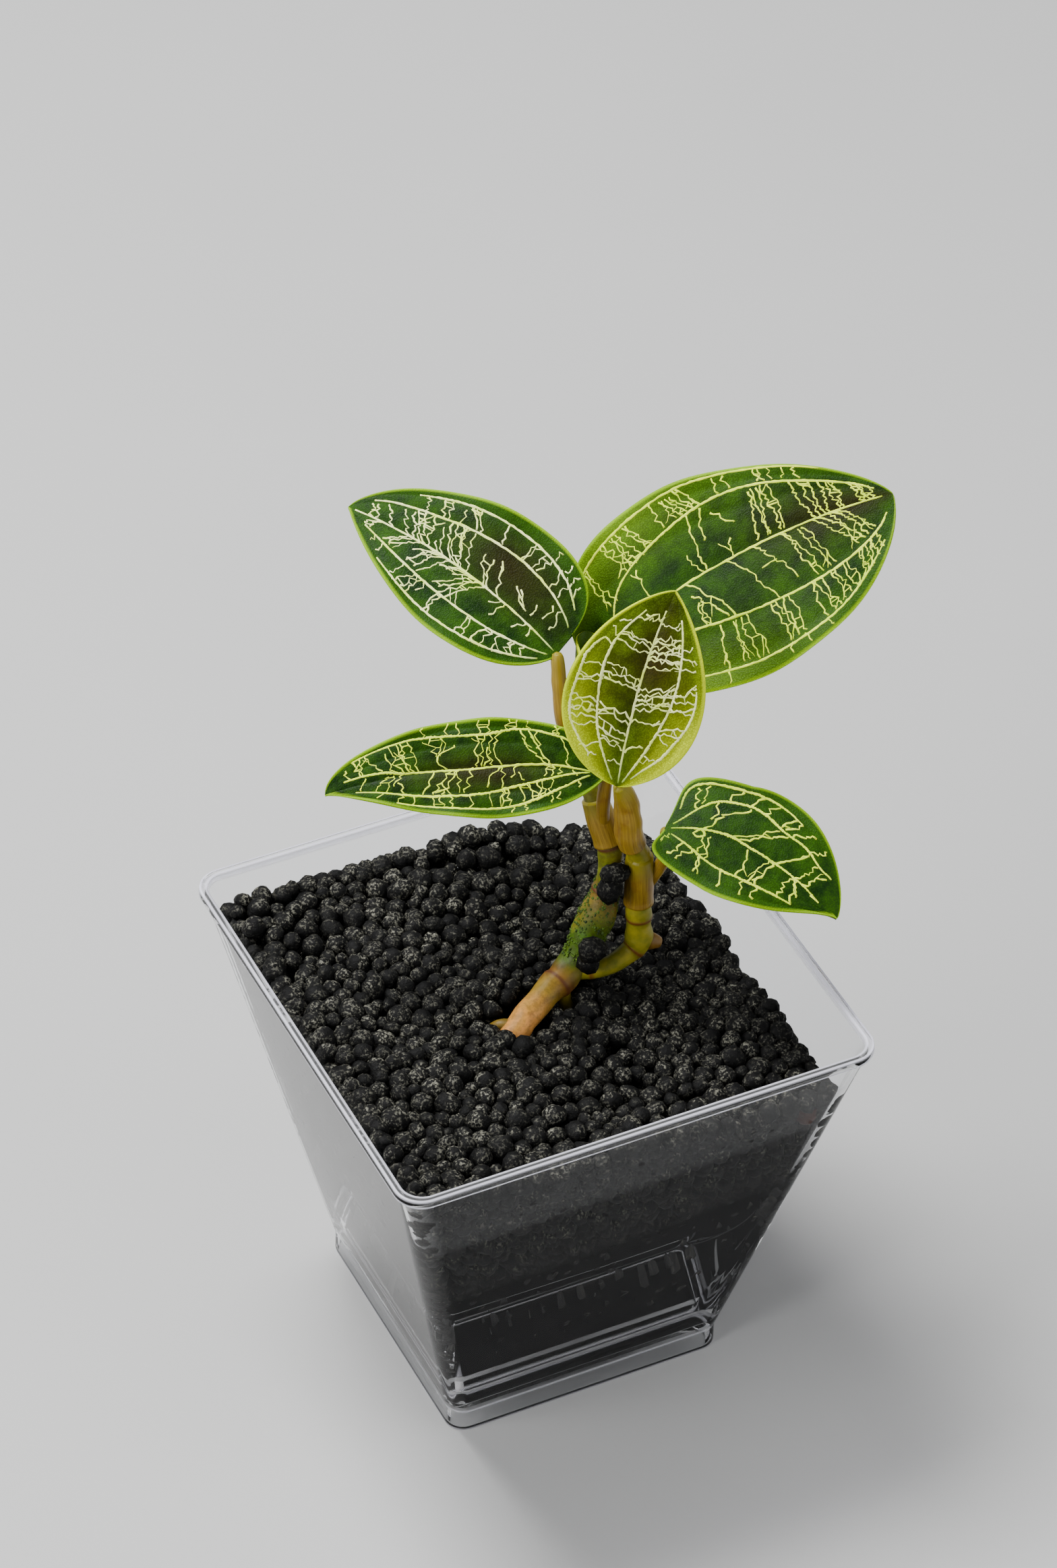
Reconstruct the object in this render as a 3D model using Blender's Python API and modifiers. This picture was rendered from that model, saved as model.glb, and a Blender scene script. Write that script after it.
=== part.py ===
"""Jewel orchid in a clear square cup of black granules.

Lengths in the tables of dimensions are millimetres in the cup's frame: the cup's axis is Z, its sides
run along X and Y, and it stands on z = 0. One empty carries every piece, and its place puts the middle
of the whole plant's outline, leaves included, over the world's origin.

Pieces: the cup, the granules, one branched stem, two sheathed and three free leaf stalks, five open
leaves and one young leaf that is still rolled up.
"""
import math

import bmesh
import bpy
import numpy as np
from mathutils import Vector

MM = 0.001
GAP = 0.3
MERGE = 0.00001
CUP_AXIS = (-11.9, -5.0)

# Cup
CUP_HEIGHT = 68.0
RIM_HALF = 37.5
RIM_CORNER = 4.2
BEAD_HEIGHT = 1.5
BEAD_PROUD = 0.4
WALL = 1.05
FOOT_HALF = 22.25
FOOT_CORNER = 3.0
FOOT_HEIGHT = 4.1
SKIRT = 1.3
FLOOR = 1.2
RIM_EDGE = 0.3
FLOOR_EDGE = 1.0
FLOOR_FILLET = 0.8
FOOT_DRAFT = 0.05
CORNER_STEPS = 4

# Granules
GRANULES_ACROSS = 10
FILL_HEIGHT = 60.6
FILL_SLOPE = 0.08
FILL_LOW_CORNER = 2.2
DOME = 2.0
EDGE_SHARE = 0.75
BORDER_DIP = 0.9
SIDE_DOME = 0.9
SIZES = (0.7, 1.25)
SCATTER = 0.13
SEED = 7
# The fill keeps a little more from the wall than the gap, more still at the floor's fillet, and its
# corners are a little rounder than the cup's.
WALL_ROOM = 0.1
FILLET_ROOM = 0.45
FILLET_SHARE = 0.05
CORNER_EASE = 0.4
# Round the middle of the creeping stem the domes are lower.
STEM_MIDDLE = (2.0, -1.0)
STEM_REACH = 9.0
STEM_CALM = 0.7

# Leaves
BLADE = 0.7
BLADE_LONG = 14
BLADE_WIDE = 8
MIDRIB_GROOVE = 0.35
GROOVE_WIDTH = 0.15
WAVE_SHIFT = 1.5
LOBE_END = 0.3
TUBE_BEVEL = 2
SOFT_ANGLE = 50

# Each open leaf: the base and tip of its midrib, the way its face looks, half widths of its two sides,
# how early and how late each side swells, the midrib's lift and sideways bend, the cross curl, the
# length of the lobes behind the stalk, and the height, count and start of the margin's waves.
LEAVES = {
    "leaf_upper_left": dict(
        base=(11.2, 17.1, 109.0), tip=(-7.6, 47.3, 120.0), facing=(-0.24, -0.47, 0.85),
        half=(12.0, 10.2), swell=(0.22, 0.7), taper=(0.57, 0.96),
        lift=1.8, sway=-1.8, curl=0.05, lobe=0.0, wave=(0.35, 2.5, 0.2)),
    "leaf_upper_right": dict(
        base=(17.2, 20.0, 103.0), tip=(61.2, 11.4, 126.0), facing=(-0.24, -0.47, 0.85),
        half=(18.0, 14.2), swell=(0.69, 0.34), taper=(0.68, 0.68),
        lift=2.5, sway=2.6, curl=0.05, lobe=0.0, wave=(0.5, 3.0, 0.6)),
    "leaf_front": dict(
        base=(12.2, -0.9, 98.3), tip=(22.8, 4.0, 126.8), facing=(-0.32, -0.62, 0.72),
        half=(9.7, 10.2), swell=(0.72, 0.52), taper=(0.9, 0.69),
        lift=1.5, sway=1.0, curl=0.05, lobe=0.0, wave=(0.25, 2.0, 0.0)),
    "leaf_lower_left": dict(
        base=(12.0, 2.1, 98.1), tip=(-24.9, 17.3, 95.5), facing=(-0.29, -0.57, 0.77),
        half=(7.0, 7.4), swell=(0.3, 0.83), taper=(0.45, 1.2),
        lift=1.5, sway=-2.2, curl=0.05, lobe=0.0, wave=(0.5, 3.5, 0.1)),
    "leaf_lower_right": dict(
        base=(19.0, -2.8, 89.0), tip=(36.5, -23.0, 82.0), facing=(-0.19, -0.37, 0.91),
        half=(8.4, 10.0), swell=(0.85, 0.46), taper=(1.2, 0.58),
        lift=2.0, sway=2.5, curl=-0.05, lobe=3.6, wave=(0.3, 2.0, 0.5)),
}
YOUNG_BASE = (12.0, 11.2, 95.2)
YOUNG_TIP = (17.4, 20.0, 109.2)
YOUNG_BOW = (0.3, -0.2, 0.6)
YOUNG_HALF = 4.6
YOUNG_ROLL = 1.6
YOUNG_SPIRAL = 0.3
YOUNG_FACING = (-0.34, -0.67, 0.66)
YOUNG_SWELL = 1.5
YOUNG_TAPER = 0.8
YOUNG_WIDE = 12

# Stem paths, each point with its radius. Swellings are the rings where leaves once stood.
MAIN_STEM = [
    (-13.0, -9.0, 54.5, 1.5), (-9.0, -7.0, 58.0, 1.8), (-4.5, -4.6, 60.8, 2.0),
    (1.2, -1.2, 61.9, 2.05), (5.2, 0.4, 63.0, 2.35), (7.6, 1.2, 65.0, 2.15),
    (9.6, 1.6, 68.4, 2.6), (11.2, 1.8, 72.0, 2.65), (12.4, 2.0, 75.2, 2.1),
    (13.0, 2.2, 77.3, 1.95), (13.3, 2.5, 80.0, 1.65), (13.4, 2.75, 82.2, 1.85),
    (13.3, 3.0, 83.4, 1.15), (12.3, 6.0, 90.3, 1.15), (12.2, 7.6, 93.0, 1.7),
    (12.2, 9.4, 95.5, 2.2)]
SIDE_SHOOT = [
    (6.4, 0.7, 63.3, 1.3), (11.1, -1.1, 63.9, 1.35), (15.2, -1.2, 65.4, 1.6),
    (16.6, -1.0, 67.4, 2.1), (16.6, -0.7, 70.2, 1.8), (16.6, -0.6, 72.7, 1.9),
    (16.6, -0.6, 73.7, 1.1), (16.6, -0.3, 82.5, 1.1), (16.2, -0.3, 84.0, 1.6),
    (15.3, -0.4, 86.0, 1.7)]
ROOTS = [
    [(-9.0, -7.0, 58.0, 1.2), (-9.6, -5.0, 51.0, 1.1), (-7.0, -3.0, 42.0, 0.9)],
    [(4.6, 0.2, 62.6, 1.2), (5.6, -1.2, 55.0, 1.1), (3.0, -3.0, 46.0, 0.9)],
    [(-4.6, -4.6, 60.9, 1.2), (-6.8, -3.2, 60.9, 1.0), (-9.0, -2.4, 59.2, 0.8)],
    [(16.8, -1.0, 67.2, 1.4), (18.4, -1.4, 66.6, 1.3), (19.6, -1.6, 65.9, 0.9)],
]

# Leaf stalks: a sheath path that wraps the stem, or None, and the stalk's own path to its leaf.
STALKS = {
    "stalk_upper_left": dict(
        sheath=None,
        stalk=[(10.9, 9.6, 95.85, 0.95), (10.4, 10.3, 97.0, 1.05), (10.3, 13.3, 101.9, 1.15),
               (11.05, 16.5, 107.95, 1.0)]),
    "stalk_upper_right": dict(
        sheath=None,
        stalk=[(13.6, 9.5, 95.95, 0.85), (14.4, 10.1, 96.6, 0.9), (16.4, 15.2, 98.3, 1.05),
               (16.8, 18.9, 101.8, 1.0)]),
    "stalk_front": dict(
        sheath=None,
        stalk=[(15.1, -0.45, 86.4, 1.9), (14.5, -0.55, 88.5, 2.0), (14.2, -0.3, 93.0, 1.9),
               (13.4, -0.5, 96.2, 1.5), (12.6, -0.8, 97.5, 1.0)]),
    "stalk_lower_left": dict(
        sheath=[(13.3, 3.2, 83.9, 2.15), (12.75, 4.7, 87.4, 2.15), (12.3, 6.0, 90.3, 1.95)],
        stalk=[(12.5, 3.6, 88.0, 0.9), (12.1, 3.0, 92.5, 1.0), (12.2, 2.5, 97.0, 0.9)]),
    "stalk_lower_right": dict(
        sheath=[(16.6, -0.6, 74.3, 2.05), (16.6, -0.45, 78.5, 2.15), (16.6, -0.3, 82.7, 2.0)],
        stalk=[(17.9, -0.8, 77.5, 0.9), (19.3, -1.8, 81.5, 1.0), (19.9, -2.4, 85.0, 1.0),
               (19.3, -2.75, 88.15, 0.9)]),
}

COLOURS = {
    "cup": ((0.86, 0.88, 0.92, 1.0), 0.05, 0.25),
    "granules": ((0.016, 0.016, 0.014, 1.0), 0.75, 1.0),
    "stem": ((0.32, 0.33, 0.05, 1.0), 0.45, 1.0),
    "stalk": ((0.50, 0.30, 0.06, 1.0), 0.4, 1.0),
    "blade": ((0.07, 0.20, 0.01, 1.0), 0.35, 1.0),
    "front_blade": ((0.30, 0.45, 0.02, 1.0), 0.35, 1.0),
}


def clear_scene():
    for obj in list(bpy.data.objects):
        bpy.data.objects.remove(obj)


def new_collection(name):
    collection = bpy.data.collections.new(name)
    bpy.context.scene.collection.children.link(collection)
    return collection


def make_material(name):
    colour, roughness, alpha = COLOURS[name]
    material = bpy.data.materials.new(name)
    material.use_nodes = True
    shader = material.node_tree.nodes["Principled BSDF"]
    shader.inputs["Base Color"].default_value = colour
    shader.inputs["Roughness"].default_value = roughness
    shader.inputs["Metallic"].default_value = 0.0
    shader.inputs["Alpha"].default_value = alpha
    material.diffuse_color = colour[:3] + (alpha,)
    return material


def add_object(name, mesh, material, collection, carrier):
    obj = bpy.data.objects.new(name, mesh)
    collection.objects.link(obj)
    obj.parent = carrier
    if material:
        mesh.materials.append(material)
    return obj


def mesh_from_bmesh(name, bm):
    mesh = bpy.data.meshes.new(name)
    bm.to_mesh(mesh)
    bm.free()
    return mesh


def smooth(mesh, angle):
    mesh.shade_smooth()
    mesh.set_sharp_from_angle(angle=math.radians(angle))


def evaluated_mesh(obj):
    """The mesh that the object's curve or modifiers give."""
    depsgraph = bpy.context.evaluated_depsgraph_get()
    return bpy.data.meshes.new_from_object(obj.evaluated_get(depsgraph))


def unit(vector):
    vector = np.asarray(vector, dtype=float)
    return vector / np.linalg.norm(vector)


def wall_half(z):
    """Half the cup's outer width at height z."""
    return FOOT_HALF + (RIM_HALF - BEAD_PROUD - FOOT_HALF) * (z - FOOT_HEIGHT) / (CUP_HEIGHT - FOOT_HEIGHT)


def square_ring(half, corner, z):
    """Points round a square with round corners."""
    points = []
    for quarter in range(4):
        for step in range(CORNER_STEPS + 1):
            angle = math.pi / 2 * (quarter + step / CORNER_STEPS)
            middle = math.pi / 2 * quarter + math.pi / 4
            x = (half - corner) * math.copysign(1, math.cos(middle)) + corner * math.cos(angle)
            y = (half - corner) * math.copysign(1, math.sin(middle)) + corner * math.sin(angle)
            points.append((x * MM, y * MM, z * MM))
    return points


def cup_profile():
    """Rings of the cup from the middle of its inner floor, over the rim, to the middle underneath."""
    inner_floor = FOOT_HEIGHT + FLOOR
    inner_low = wall_half(inner_floor) - WALL
    bead_low = CUP_HEIGHT - BEAD_HEIGHT
    return [
        (inner_low - FLOOR_EDGE, FOOT_CORNER - FLOOR_EDGE - 0.5, inner_floor),
        (inner_low + 0.1, FOOT_CORNER - FLOOR_EDGE, inner_floor + FLOOR_FILLET),
        (wall_half(bead_low) - WALL, RIM_CORNER - WALL, bead_low),
        (RIM_HALF - WALL - 0.2, RIM_CORNER - WALL, CUP_HEIGHT - 0.2),
        (RIM_HALF - WALL, RIM_CORNER - WALL + 0.2, CUP_HEIGHT),
        (RIM_HALF - RIM_EDGE, RIM_CORNER - RIM_EDGE, CUP_HEIGHT),
        (RIM_HALF, RIM_CORNER, CUP_HEIGHT - RIM_EDGE),
        (RIM_HALF, RIM_CORNER, bead_low + RIM_EDGE),
        (wall_half(bead_low), RIM_CORNER - BEAD_PROUD, bead_low),
        (FOOT_HALF, FOOT_CORNER, FOOT_HEIGHT),
        (FOOT_HALF - FOOT_DRAFT, FOOT_CORNER, 0.25),
        (FOOT_HALF - FOOT_DRAFT - 0.2, FOOT_CORNER - 0.2, 0.0),
        (FOOT_HALF - SKIRT, FOOT_CORNER - SKIRT + 0.2, 0.0),
        (FOOT_HALF - SKIRT - 2 * FOOT_DRAFT, FOOT_CORNER - SKIRT, FOOT_HEIGHT - RIM_EDGE),
        (FOOT_HALF - SKIRT - 0.6, FOOT_CORNER - SKIRT - 0.4, FOOT_HEIGHT),
    ]


def build_cup(collection, carrier, material):
    """The profile's rings joined in turn, with a flat face inside and one underneath."""
    bm = bmesh.new()
    rings = []
    for half, corner, z in cup_profile():
        rings.append([bm.verts.new(point) for point in square_ring(half, corner, z)])
    count = len(rings[0])
    for inner, outer in zip(rings, rings[1:]):
        for i in range(count):
            j = (i + 1) % count
            bm.faces.new((inner[i], outer[i], outer[j], inner[j]))
    bm.faces.new(rings[0])
    bm.faces.new(list(reversed(rings[-1])))
    bmesh.ops.recalc_face_normals(bm, faces=bm.faces)
    mesh = mesh_from_bmesh("cup", bm)
    smooth(mesh, 35)
    return add_object("cup", mesh, material, collection, carrier)


def fill_height(x, y):
    """The granules lie higher by the front-left wall and fall away to the right-hand corner."""
    low = FILL_LOW_CORNER * np.clip((x + y) / (2 * RIM_HALF), 0, 1) ** 2
    return FILL_HEIGHT - FILL_SLOPE * x - low


def sunk_share(even_a, even_b):
    """How deep a point lies: nothing in a granule's middle, most at its edges, all at its corners."""
    return np.where(even_a & even_b, 1.0, np.where(even_a | even_b, EDGE_SHARE, 0.0))


def build_granules(collection, carrier, material):
    """A tapered block whose faces rise in one dome for each granule.

    A cube is split so that each granule has a middle point, four edge points and four corner points.
    The middle stays out, and the others sink by a share of the dome's height.
    """
    bm = bmesh.new()
    bmesh.ops.create_cube(bm, size=2.0)
    cuts = 2 * GRANULES_ACROSS - 1
    bmesh.ops.subdivide_edges(bm, edges=bm.edges[:], cuts=cuts, use_grid_fill=True)
    floor = [f for f in bm.faces if f.calc_center_median().z < -0.999]
    bmesh.ops.dissolve_faces(bm, faces=floor)
    mesh = mesh_from_bmesh("granules", bm)
    place = np.empty(len(mesh.vertices) * 3)
    mesh.vertices.foreach_get("co", place)
    place = place.reshape(-1, 3)

    rng = np.random.default_rng(SEED)
    index = np.rint((place + 1) * GRANULES_ACROSS).astype(int)
    last = 2 * GRANULES_ACROSS
    on_top = index[:, 2] == last
    on_floor = index[:, 2] == 0
    on_x = (index[:, 0] == 0) | (index[:, 0] == last)
    on_y = (index[:, 1] == 0) | (index[:, 1] == last)
    even = index % 2 == 0

    inside = ~(on_x | on_y)
    jitter = rng.uniform(-SCATTER, SCATTER, place.shape) / GRANULES_ACROSS * 2
    along = place + jitter * np.stack([~on_x, ~on_y, ~(on_top | on_floor)], axis=1)
    bottom = FOOT_HEIGHT + FLOOR + GAP

    slope_x = along[:, 0] * RIM_HALF
    slope_y = along[:, 1] * RIM_HALF
    top = fill_height(slope_x, slope_y)
    share = (along[:, 2] + 1) / 2
    z = bottom + (top - bottom) * share
    lean = (z - FOOT_HEIGHT) / (CUP_HEIGHT - FOOT_HEIGHT)
    half = wall_half(z) - WALL - GAP - WALL_ROOM - FILLET_ROOM * (lean < FILLET_SHARE)
    side_dip = SIDE_DOME * np.where(on_x, sunk_share(even[:, 1], even[:, 2]),
                                    sunk_share(even[:, 0], even[:, 2]))
    half_x = half - np.where(on_x, side_dip, 0.0)
    half_y = half - np.where(on_y, side_dip, 0.0)
    x = along[:, 0] * half_x
    y = along[:, 1] * half_y

    corner = FOOT_CORNER + (RIM_CORNER - FOOT_CORNER) * lean
    room = corner - CORNER_EASE
    over_x = np.abs(x) - (half - corner)
    over_y = np.abs(y) - (half - corner)
    reach = np.hypot(over_x, over_y)
    pull = np.where((over_x > 0) & (over_y > 0) & (reach > room), room / reach, 1.0)
    x = np.where(pull < 1, np.sign(x) * (half - corner + over_x * pull), x)
    y = np.where(pull < 1, np.sign(y) * (half - corner + over_y * pull), y)

    near_stem = np.exp(-(np.hypot(x - STEM_MIDDLE[0], y - STEM_MIDDLE[1]) / STEM_REACH) ** 2)
    dome = DOME * (1 - STEM_CALM * near_stem)
    size = rng.uniform(*SIZES, len(place))
    dip = dome * np.where(inside, sunk_share(even[:, 0], even[:, 1]), BORDER_DIP) * size
    z = z - np.where(on_top, dip, 0.0)

    mesh.vertices.foreach_set("co", (np.stack([x, y, z], axis=1) * MM).ravel())
    mesh.update()
    bm = bmesh.new()
    bm.from_mesh(mesh)
    bmesh.ops.triangulate(bm, faces=bm.faces[:])
    bmesh.ops.recalc_face_normals(bm, faces=bm.faces)
    bm.to_mesh(mesh)
    bm.free()
    return add_object("granules", mesh, material, collection, carrier)


def smooth_path(points, steps):
    """Points on a smooth curve through the given ones, radius included."""
    points = np.array(points, dtype=float)
    padded = np.vstack([2 * points[0] - points[1], points, 2 * points[-1] - points[-2]])
    out = []
    for a, b, c, d in zip(padded, padded[1:], padded[2:], padded[3:]):
        for step in range(steps):
            t = step / steps
            out.append(0.5 * (2 * b + (c - a) * t + (2 * a - 5 * b + 4 * c - d) * t ** 2
                              + (3 * b - a - 3 * c + d) * t ** 3))
    out.append(points[-1])
    return np.array(out)


def tube(name, points, material, collection, carrier, steps=2, extra=0.0):
    """A round tube with filled ends along a path. The extra grows it all over, ends included."""
    path = smooth_path(points, steps)
    path[0, :3] -= extra * unit(path[1, :3] - path[0, :3])
    path[-1, :3] += extra * unit(path[-1, :3] - path[-2, :3])
    curve = bpy.data.curves.new(name, "CURVE")
    curve.dimensions = "3D"
    curve.bevel_depth = MM
    curve.bevel_resolution = TUBE_BEVEL
    curve.use_fill_caps = True
    spline = curve.splines.new("POLY")
    spline.points.add(len(path) - 1)
    for point, (x, y, z, radius) in zip(spline.points, path):
        point.co = (x * MM, y * MM, z * MM, 1.0)
        point.radius = radius + extra
    holder = bpy.data.objects.new(name + "_curve", curve)
    collection.objects.link(holder)
    mesh = evaluated_mesh(holder)
    bpy.data.objects.remove(holder)
    bm = bmesh.new()
    bm.from_mesh(mesh)
    bmesh.ops.remove_doubles(bm, verts=bm.verts[:], dist=MERGE)
    bmesh.ops.recalc_face_normals(bm, faces=bm.faces)
    bm.to_mesh(mesh)
    bm.free()
    mesh.name = name
    return add_object(name, mesh, material, collection, carrier)


def settle(obj, tools):
    """Keep what the object's Boolean modifiers give, and remove the tools."""
    mesh = evaluated_mesh(obj)
    obj.modifiers.clear()
    obj.data = mesh
    mesh.name = obj.name
    for tool in tools:
        bpy.data.objects.remove(tool)


def join_branches(obj, branches, holder):
    """One union of the object with all branches in the holding collection."""
    union = obj.modifiers.new("join", "BOOLEAN")
    union.operation = "UNION"
    union.operand_type = "COLLECTION"
    union.collection = holder
    settle(obj, branches)


def cut(obj, cutters):
    for cutter in cutters:
        difference = obj.modifiers.new("clear_" + cutter.name, "BOOLEAN")
        difference.operation = "DIFFERENCE"
        difference.object = cutter


def stem_clearance(cutters, carrier):
    """The stem's tubes grown by the gap, which make its holes in the granules and the sheaths."""
    tools = [tube("hole_main_stem", MAIN_STEM, None, cutters, carrier, extra=GAP),
             tube("hole_side_shoot", SIDE_SHOOT, None, cutters, carrier, extra=GAP)]
    for number, root in enumerate(ROOTS, start=1):
        tools.append(tube(f"hole_root_{number}", root, None, cutters, carrier, extra=GAP))
    for tool in tools:
        tool.hide_render = True
        tool.display_type = "WIRE"
    return tools


def build_stem(collection, carrier, material):
    """Creeping stem, its upright top, the side shoot and the roots, joined as one body."""
    holder = new_collection("stem_branches")
    stem = tube("stem", MAIN_STEM, material, collection, carrier)
    branches = [tube("side_shoot", SIDE_SHOOT, None, holder, carrier)]
    for number, root in enumerate(ROOTS, start=1):
        branches.append(tube(f"root_{number}", root, None, holder, carrier))
    join_branches(stem, branches, holder)
    bpy.data.collections.remove(holder)
    smooth(stem.data, SOFT_ANGLE)


def build_stalk(name, sheath, stalk, cutters, collection, carrier, material):
    """A leaf stalk, with its sheath round the stem where it has one, cleared from the stem."""
    if sheath:
        holder = new_collection(name + "_branch")
        obj = tube(name, sheath, material, collection, carrier)
        join_branches(obj, [tube(name + "_free", stalk, None, holder, carrier)], holder)
        bpy.data.collections.remove(holder)
    else:
        obj = tube(name, stalk, material, collection, carrier)
    cut(obj, cutters)
    settle(obj, [])
    smooth(obj.data, SOFT_ANGLE)


def half_width(t, swell, taper):
    """A leaf side's half width as a share of its widest: t**swell * (1 - t)**taper, over its greatest."""
    peak = swell / (swell + taper)
    return t ** swell * (1 - t) ** taper / (peak ** swell * (1 - peak) ** taper)


def leaf_points(leaf, t, v):
    """Points of a leaf: t runs from stalk to tip, v from one margin to the other.

    The midrib is a line from base to tip that lifts and bends by 4 t (1 - t). The sides spread from it
    by their half widths, curl with v squared, wave towards the margin, sink at the midrib, and near the
    base reach back in lobes.
    """
    base = np.array(leaf["base"])
    tip = np.array(leaf["tip"])
    side = unit(np.cross(leaf["facing"], tip - base))
    face = unit(np.cross(tip - base, side))
    arch = 4 * t * (1 - t)
    width = np.where(v < 0, leaf["half"][0] * half_width(t, leaf["swell"][0], leaf["taper"][0]),
                     leaf["half"][1] * half_width(t, leaf["swell"][1], leaf["taper"][1]))
    height, count, start = leaf["wave"]
    turns = 2 * np.pi * (count * t + start) + WAVE_SHIFT * np.sign(v)
    wave = height * np.abs(v) ** 3 * arch * np.sin(turns)
    groove = -MIDRIB_GROOVE * arch * np.exp(-(v / GROOVE_WIDTH) ** 2)
    lobe = leaf["lobe"] * v ** 2 * np.sin(np.pi * np.clip(t / LOBE_END, 0, 1))
    along = base + (tip - base) * t[:, None]
    bend = leaf["lift"] * face + leaf["sway"] * side
    off_face = leaf["curl"] * v ** 2 * width + wave + groove
    return (along + arch[:, None] * bend + (width * v)[:, None] * side
            + off_face[:, None] * face - lobe[:, None] * unit(tip - base))


def young_points(t, v):
    """Points of the young leaf: a flat leaf shape rolled round its own line in a widening spiral."""
    base = np.array(YOUNG_BASE)
    tip = np.array(YOUNG_TIP)
    line = unit(tip - base)
    front = unit(np.cross(np.cross(line, YOUNG_FACING), line))
    side = np.cross(line, front)
    share = half_width(t, YOUNG_SWELL, YOUNG_TAPER)
    radius = YOUNG_ROLL + YOUNG_SPIRAL * v * share
    turn = YOUNG_HALF * share * v / YOUNG_ROLL
    axis = base + (tip - base) * t[:, None] + (4 * t * (1 - t))[:, None] * np.array(YOUNG_BOW)
    out = radius * np.cos(turn) - YOUNG_ROLL
    return axis - front * out[:, None] + side * (radius * np.sin(turn))[:, None]


def build_blade(name, shape, wide, collection, carrier, material):
    """A grid moved onto the leaf's shape, closed to a point at both ends, split alike and thickened."""
    bm = bmesh.new()
    bmesh.ops.create_grid(bm, x_segments=BLADE_LONG, y_segments=wide, size=0.5)
    mesh = mesh_from_bmesh(name, bm)
    place = np.empty(len(mesh.vertices) * 3)
    mesh.vertices.foreach_get("co", place)
    place = place.reshape(-1, 3)
    t = 0.5 - 0.5 * np.cos(np.pi * np.clip(place[:, 0] + 0.5, 0, 1))
    v = np.clip(2 * place[:, 1], -1, 1)
    t = np.where(t < 1e-6, 0.0, np.where(t > 1 - 1e-6, 1.0, t))
    mesh.vertices.foreach_set("co", (shape(t, v) * MM).ravel())
    mesh.update()
    bm = bmesh.new()
    bm.from_mesh(mesh)
    bmesh.ops.remove_doubles(bm, verts=bm.verts[:], dist=MERGE)
    bmesh.ops.triangulate(bm, faces=bm.faces[:])
    bm.to_mesh(mesh)
    bm.free()
    smooth(mesh, SOFT_ANGLE)
    blade = add_object(name, mesh, material, collection, carrier)
    solid = blade.modifiers.new("thickness", "SOLIDIFY")
    solid.thickness = BLADE * MM
    solid.offset = 0.0
    return blade


def main():
    clear_scene()
    parts = new_collection("jewel_orchid")
    cutters = new_collection("cutters")
    carrier = bpy.data.objects.new("cup_axis", None)
    parts.objects.link(carrier)
    carrier.location = Vector((CUP_AXIS[0] * MM, CUP_AXIS[1] * MM, 0.0))
    materials = {name: make_material(name) for name in COLOURS}

    build_cup(parts, carrier, materials["cup"])
    granules = build_granules(parts, carrier, materials["granules"])
    build_stem(parts, carrier, materials["stem"])
    holes = stem_clearance(cutters, carrier)
    cut(granules, holes)
    for name, stalk in STALKS.items():
        build_stalk(name, stalk["sheath"], stalk["stalk"], holes[:2], parts, carrier, materials["stalk"])
    for name, leaf in LEAVES.items():
        material = materials["front_blade" if name == "leaf_front" else "blade"]
        build_blade(name, lambda t, v: leaf_points(leaf, t, v), BLADE_WIDE, parts, carrier, material)
    build_blade("leaf_young", young_points, YOUNG_WIDE, parts, carrier, materials["front_blade"])


main()
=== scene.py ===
"""Looks of a small jewel orchid growing in black granules in a clear square cup.

Dimensions are in millimetres in the cup's own frame: its axis is Z and it stands on z = 0. Meshes are
turned into metres and moved onto the cup's place only as they are made.
"""

import bmesh
import bpy
import numpy as np
from mathutils import Matrix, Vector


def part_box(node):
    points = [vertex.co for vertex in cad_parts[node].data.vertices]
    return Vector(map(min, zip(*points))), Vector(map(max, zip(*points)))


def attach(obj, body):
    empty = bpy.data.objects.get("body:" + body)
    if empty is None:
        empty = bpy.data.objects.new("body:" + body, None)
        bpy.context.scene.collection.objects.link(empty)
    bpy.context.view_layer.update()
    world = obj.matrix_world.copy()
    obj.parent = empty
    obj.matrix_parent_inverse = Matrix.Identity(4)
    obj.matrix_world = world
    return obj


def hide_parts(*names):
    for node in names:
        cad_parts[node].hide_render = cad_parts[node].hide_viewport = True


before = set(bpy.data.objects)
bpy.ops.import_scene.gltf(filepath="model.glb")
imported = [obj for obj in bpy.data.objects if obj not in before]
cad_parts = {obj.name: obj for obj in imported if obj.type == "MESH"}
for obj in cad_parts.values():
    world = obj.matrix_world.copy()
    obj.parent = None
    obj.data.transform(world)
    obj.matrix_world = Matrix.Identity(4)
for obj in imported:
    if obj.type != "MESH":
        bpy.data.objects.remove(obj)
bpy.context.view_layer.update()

MM = 0.001
CUP_LOW, CUP_HIGH = [np.array(corner, dtype=float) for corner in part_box("cup")]
PLACE = np.array([(CUP_LOW[0] + CUP_HIGH[0]) / 2, (CUP_LOW[1] + CUP_HIGH[1]) / 2, 0.0])

# Cup
CUP_HEIGHT = 68.0
RIM_HALF = 37.5
RIM_CORNER = 4.2
BEAD_HEIGHT = 1.5
BEAD_PROUD = 0.4
WALL = 1.05
FOOT_HALF = 22.25
FOOT_CORNER = 3.0
FOOT_HEIGHT = 4.1
SKIRT = 1.3
FLOOR = 1.2
INNER_FLOOR = FOOT_HEIGHT + FLOOR
CORNER_STEPS = 12

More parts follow.
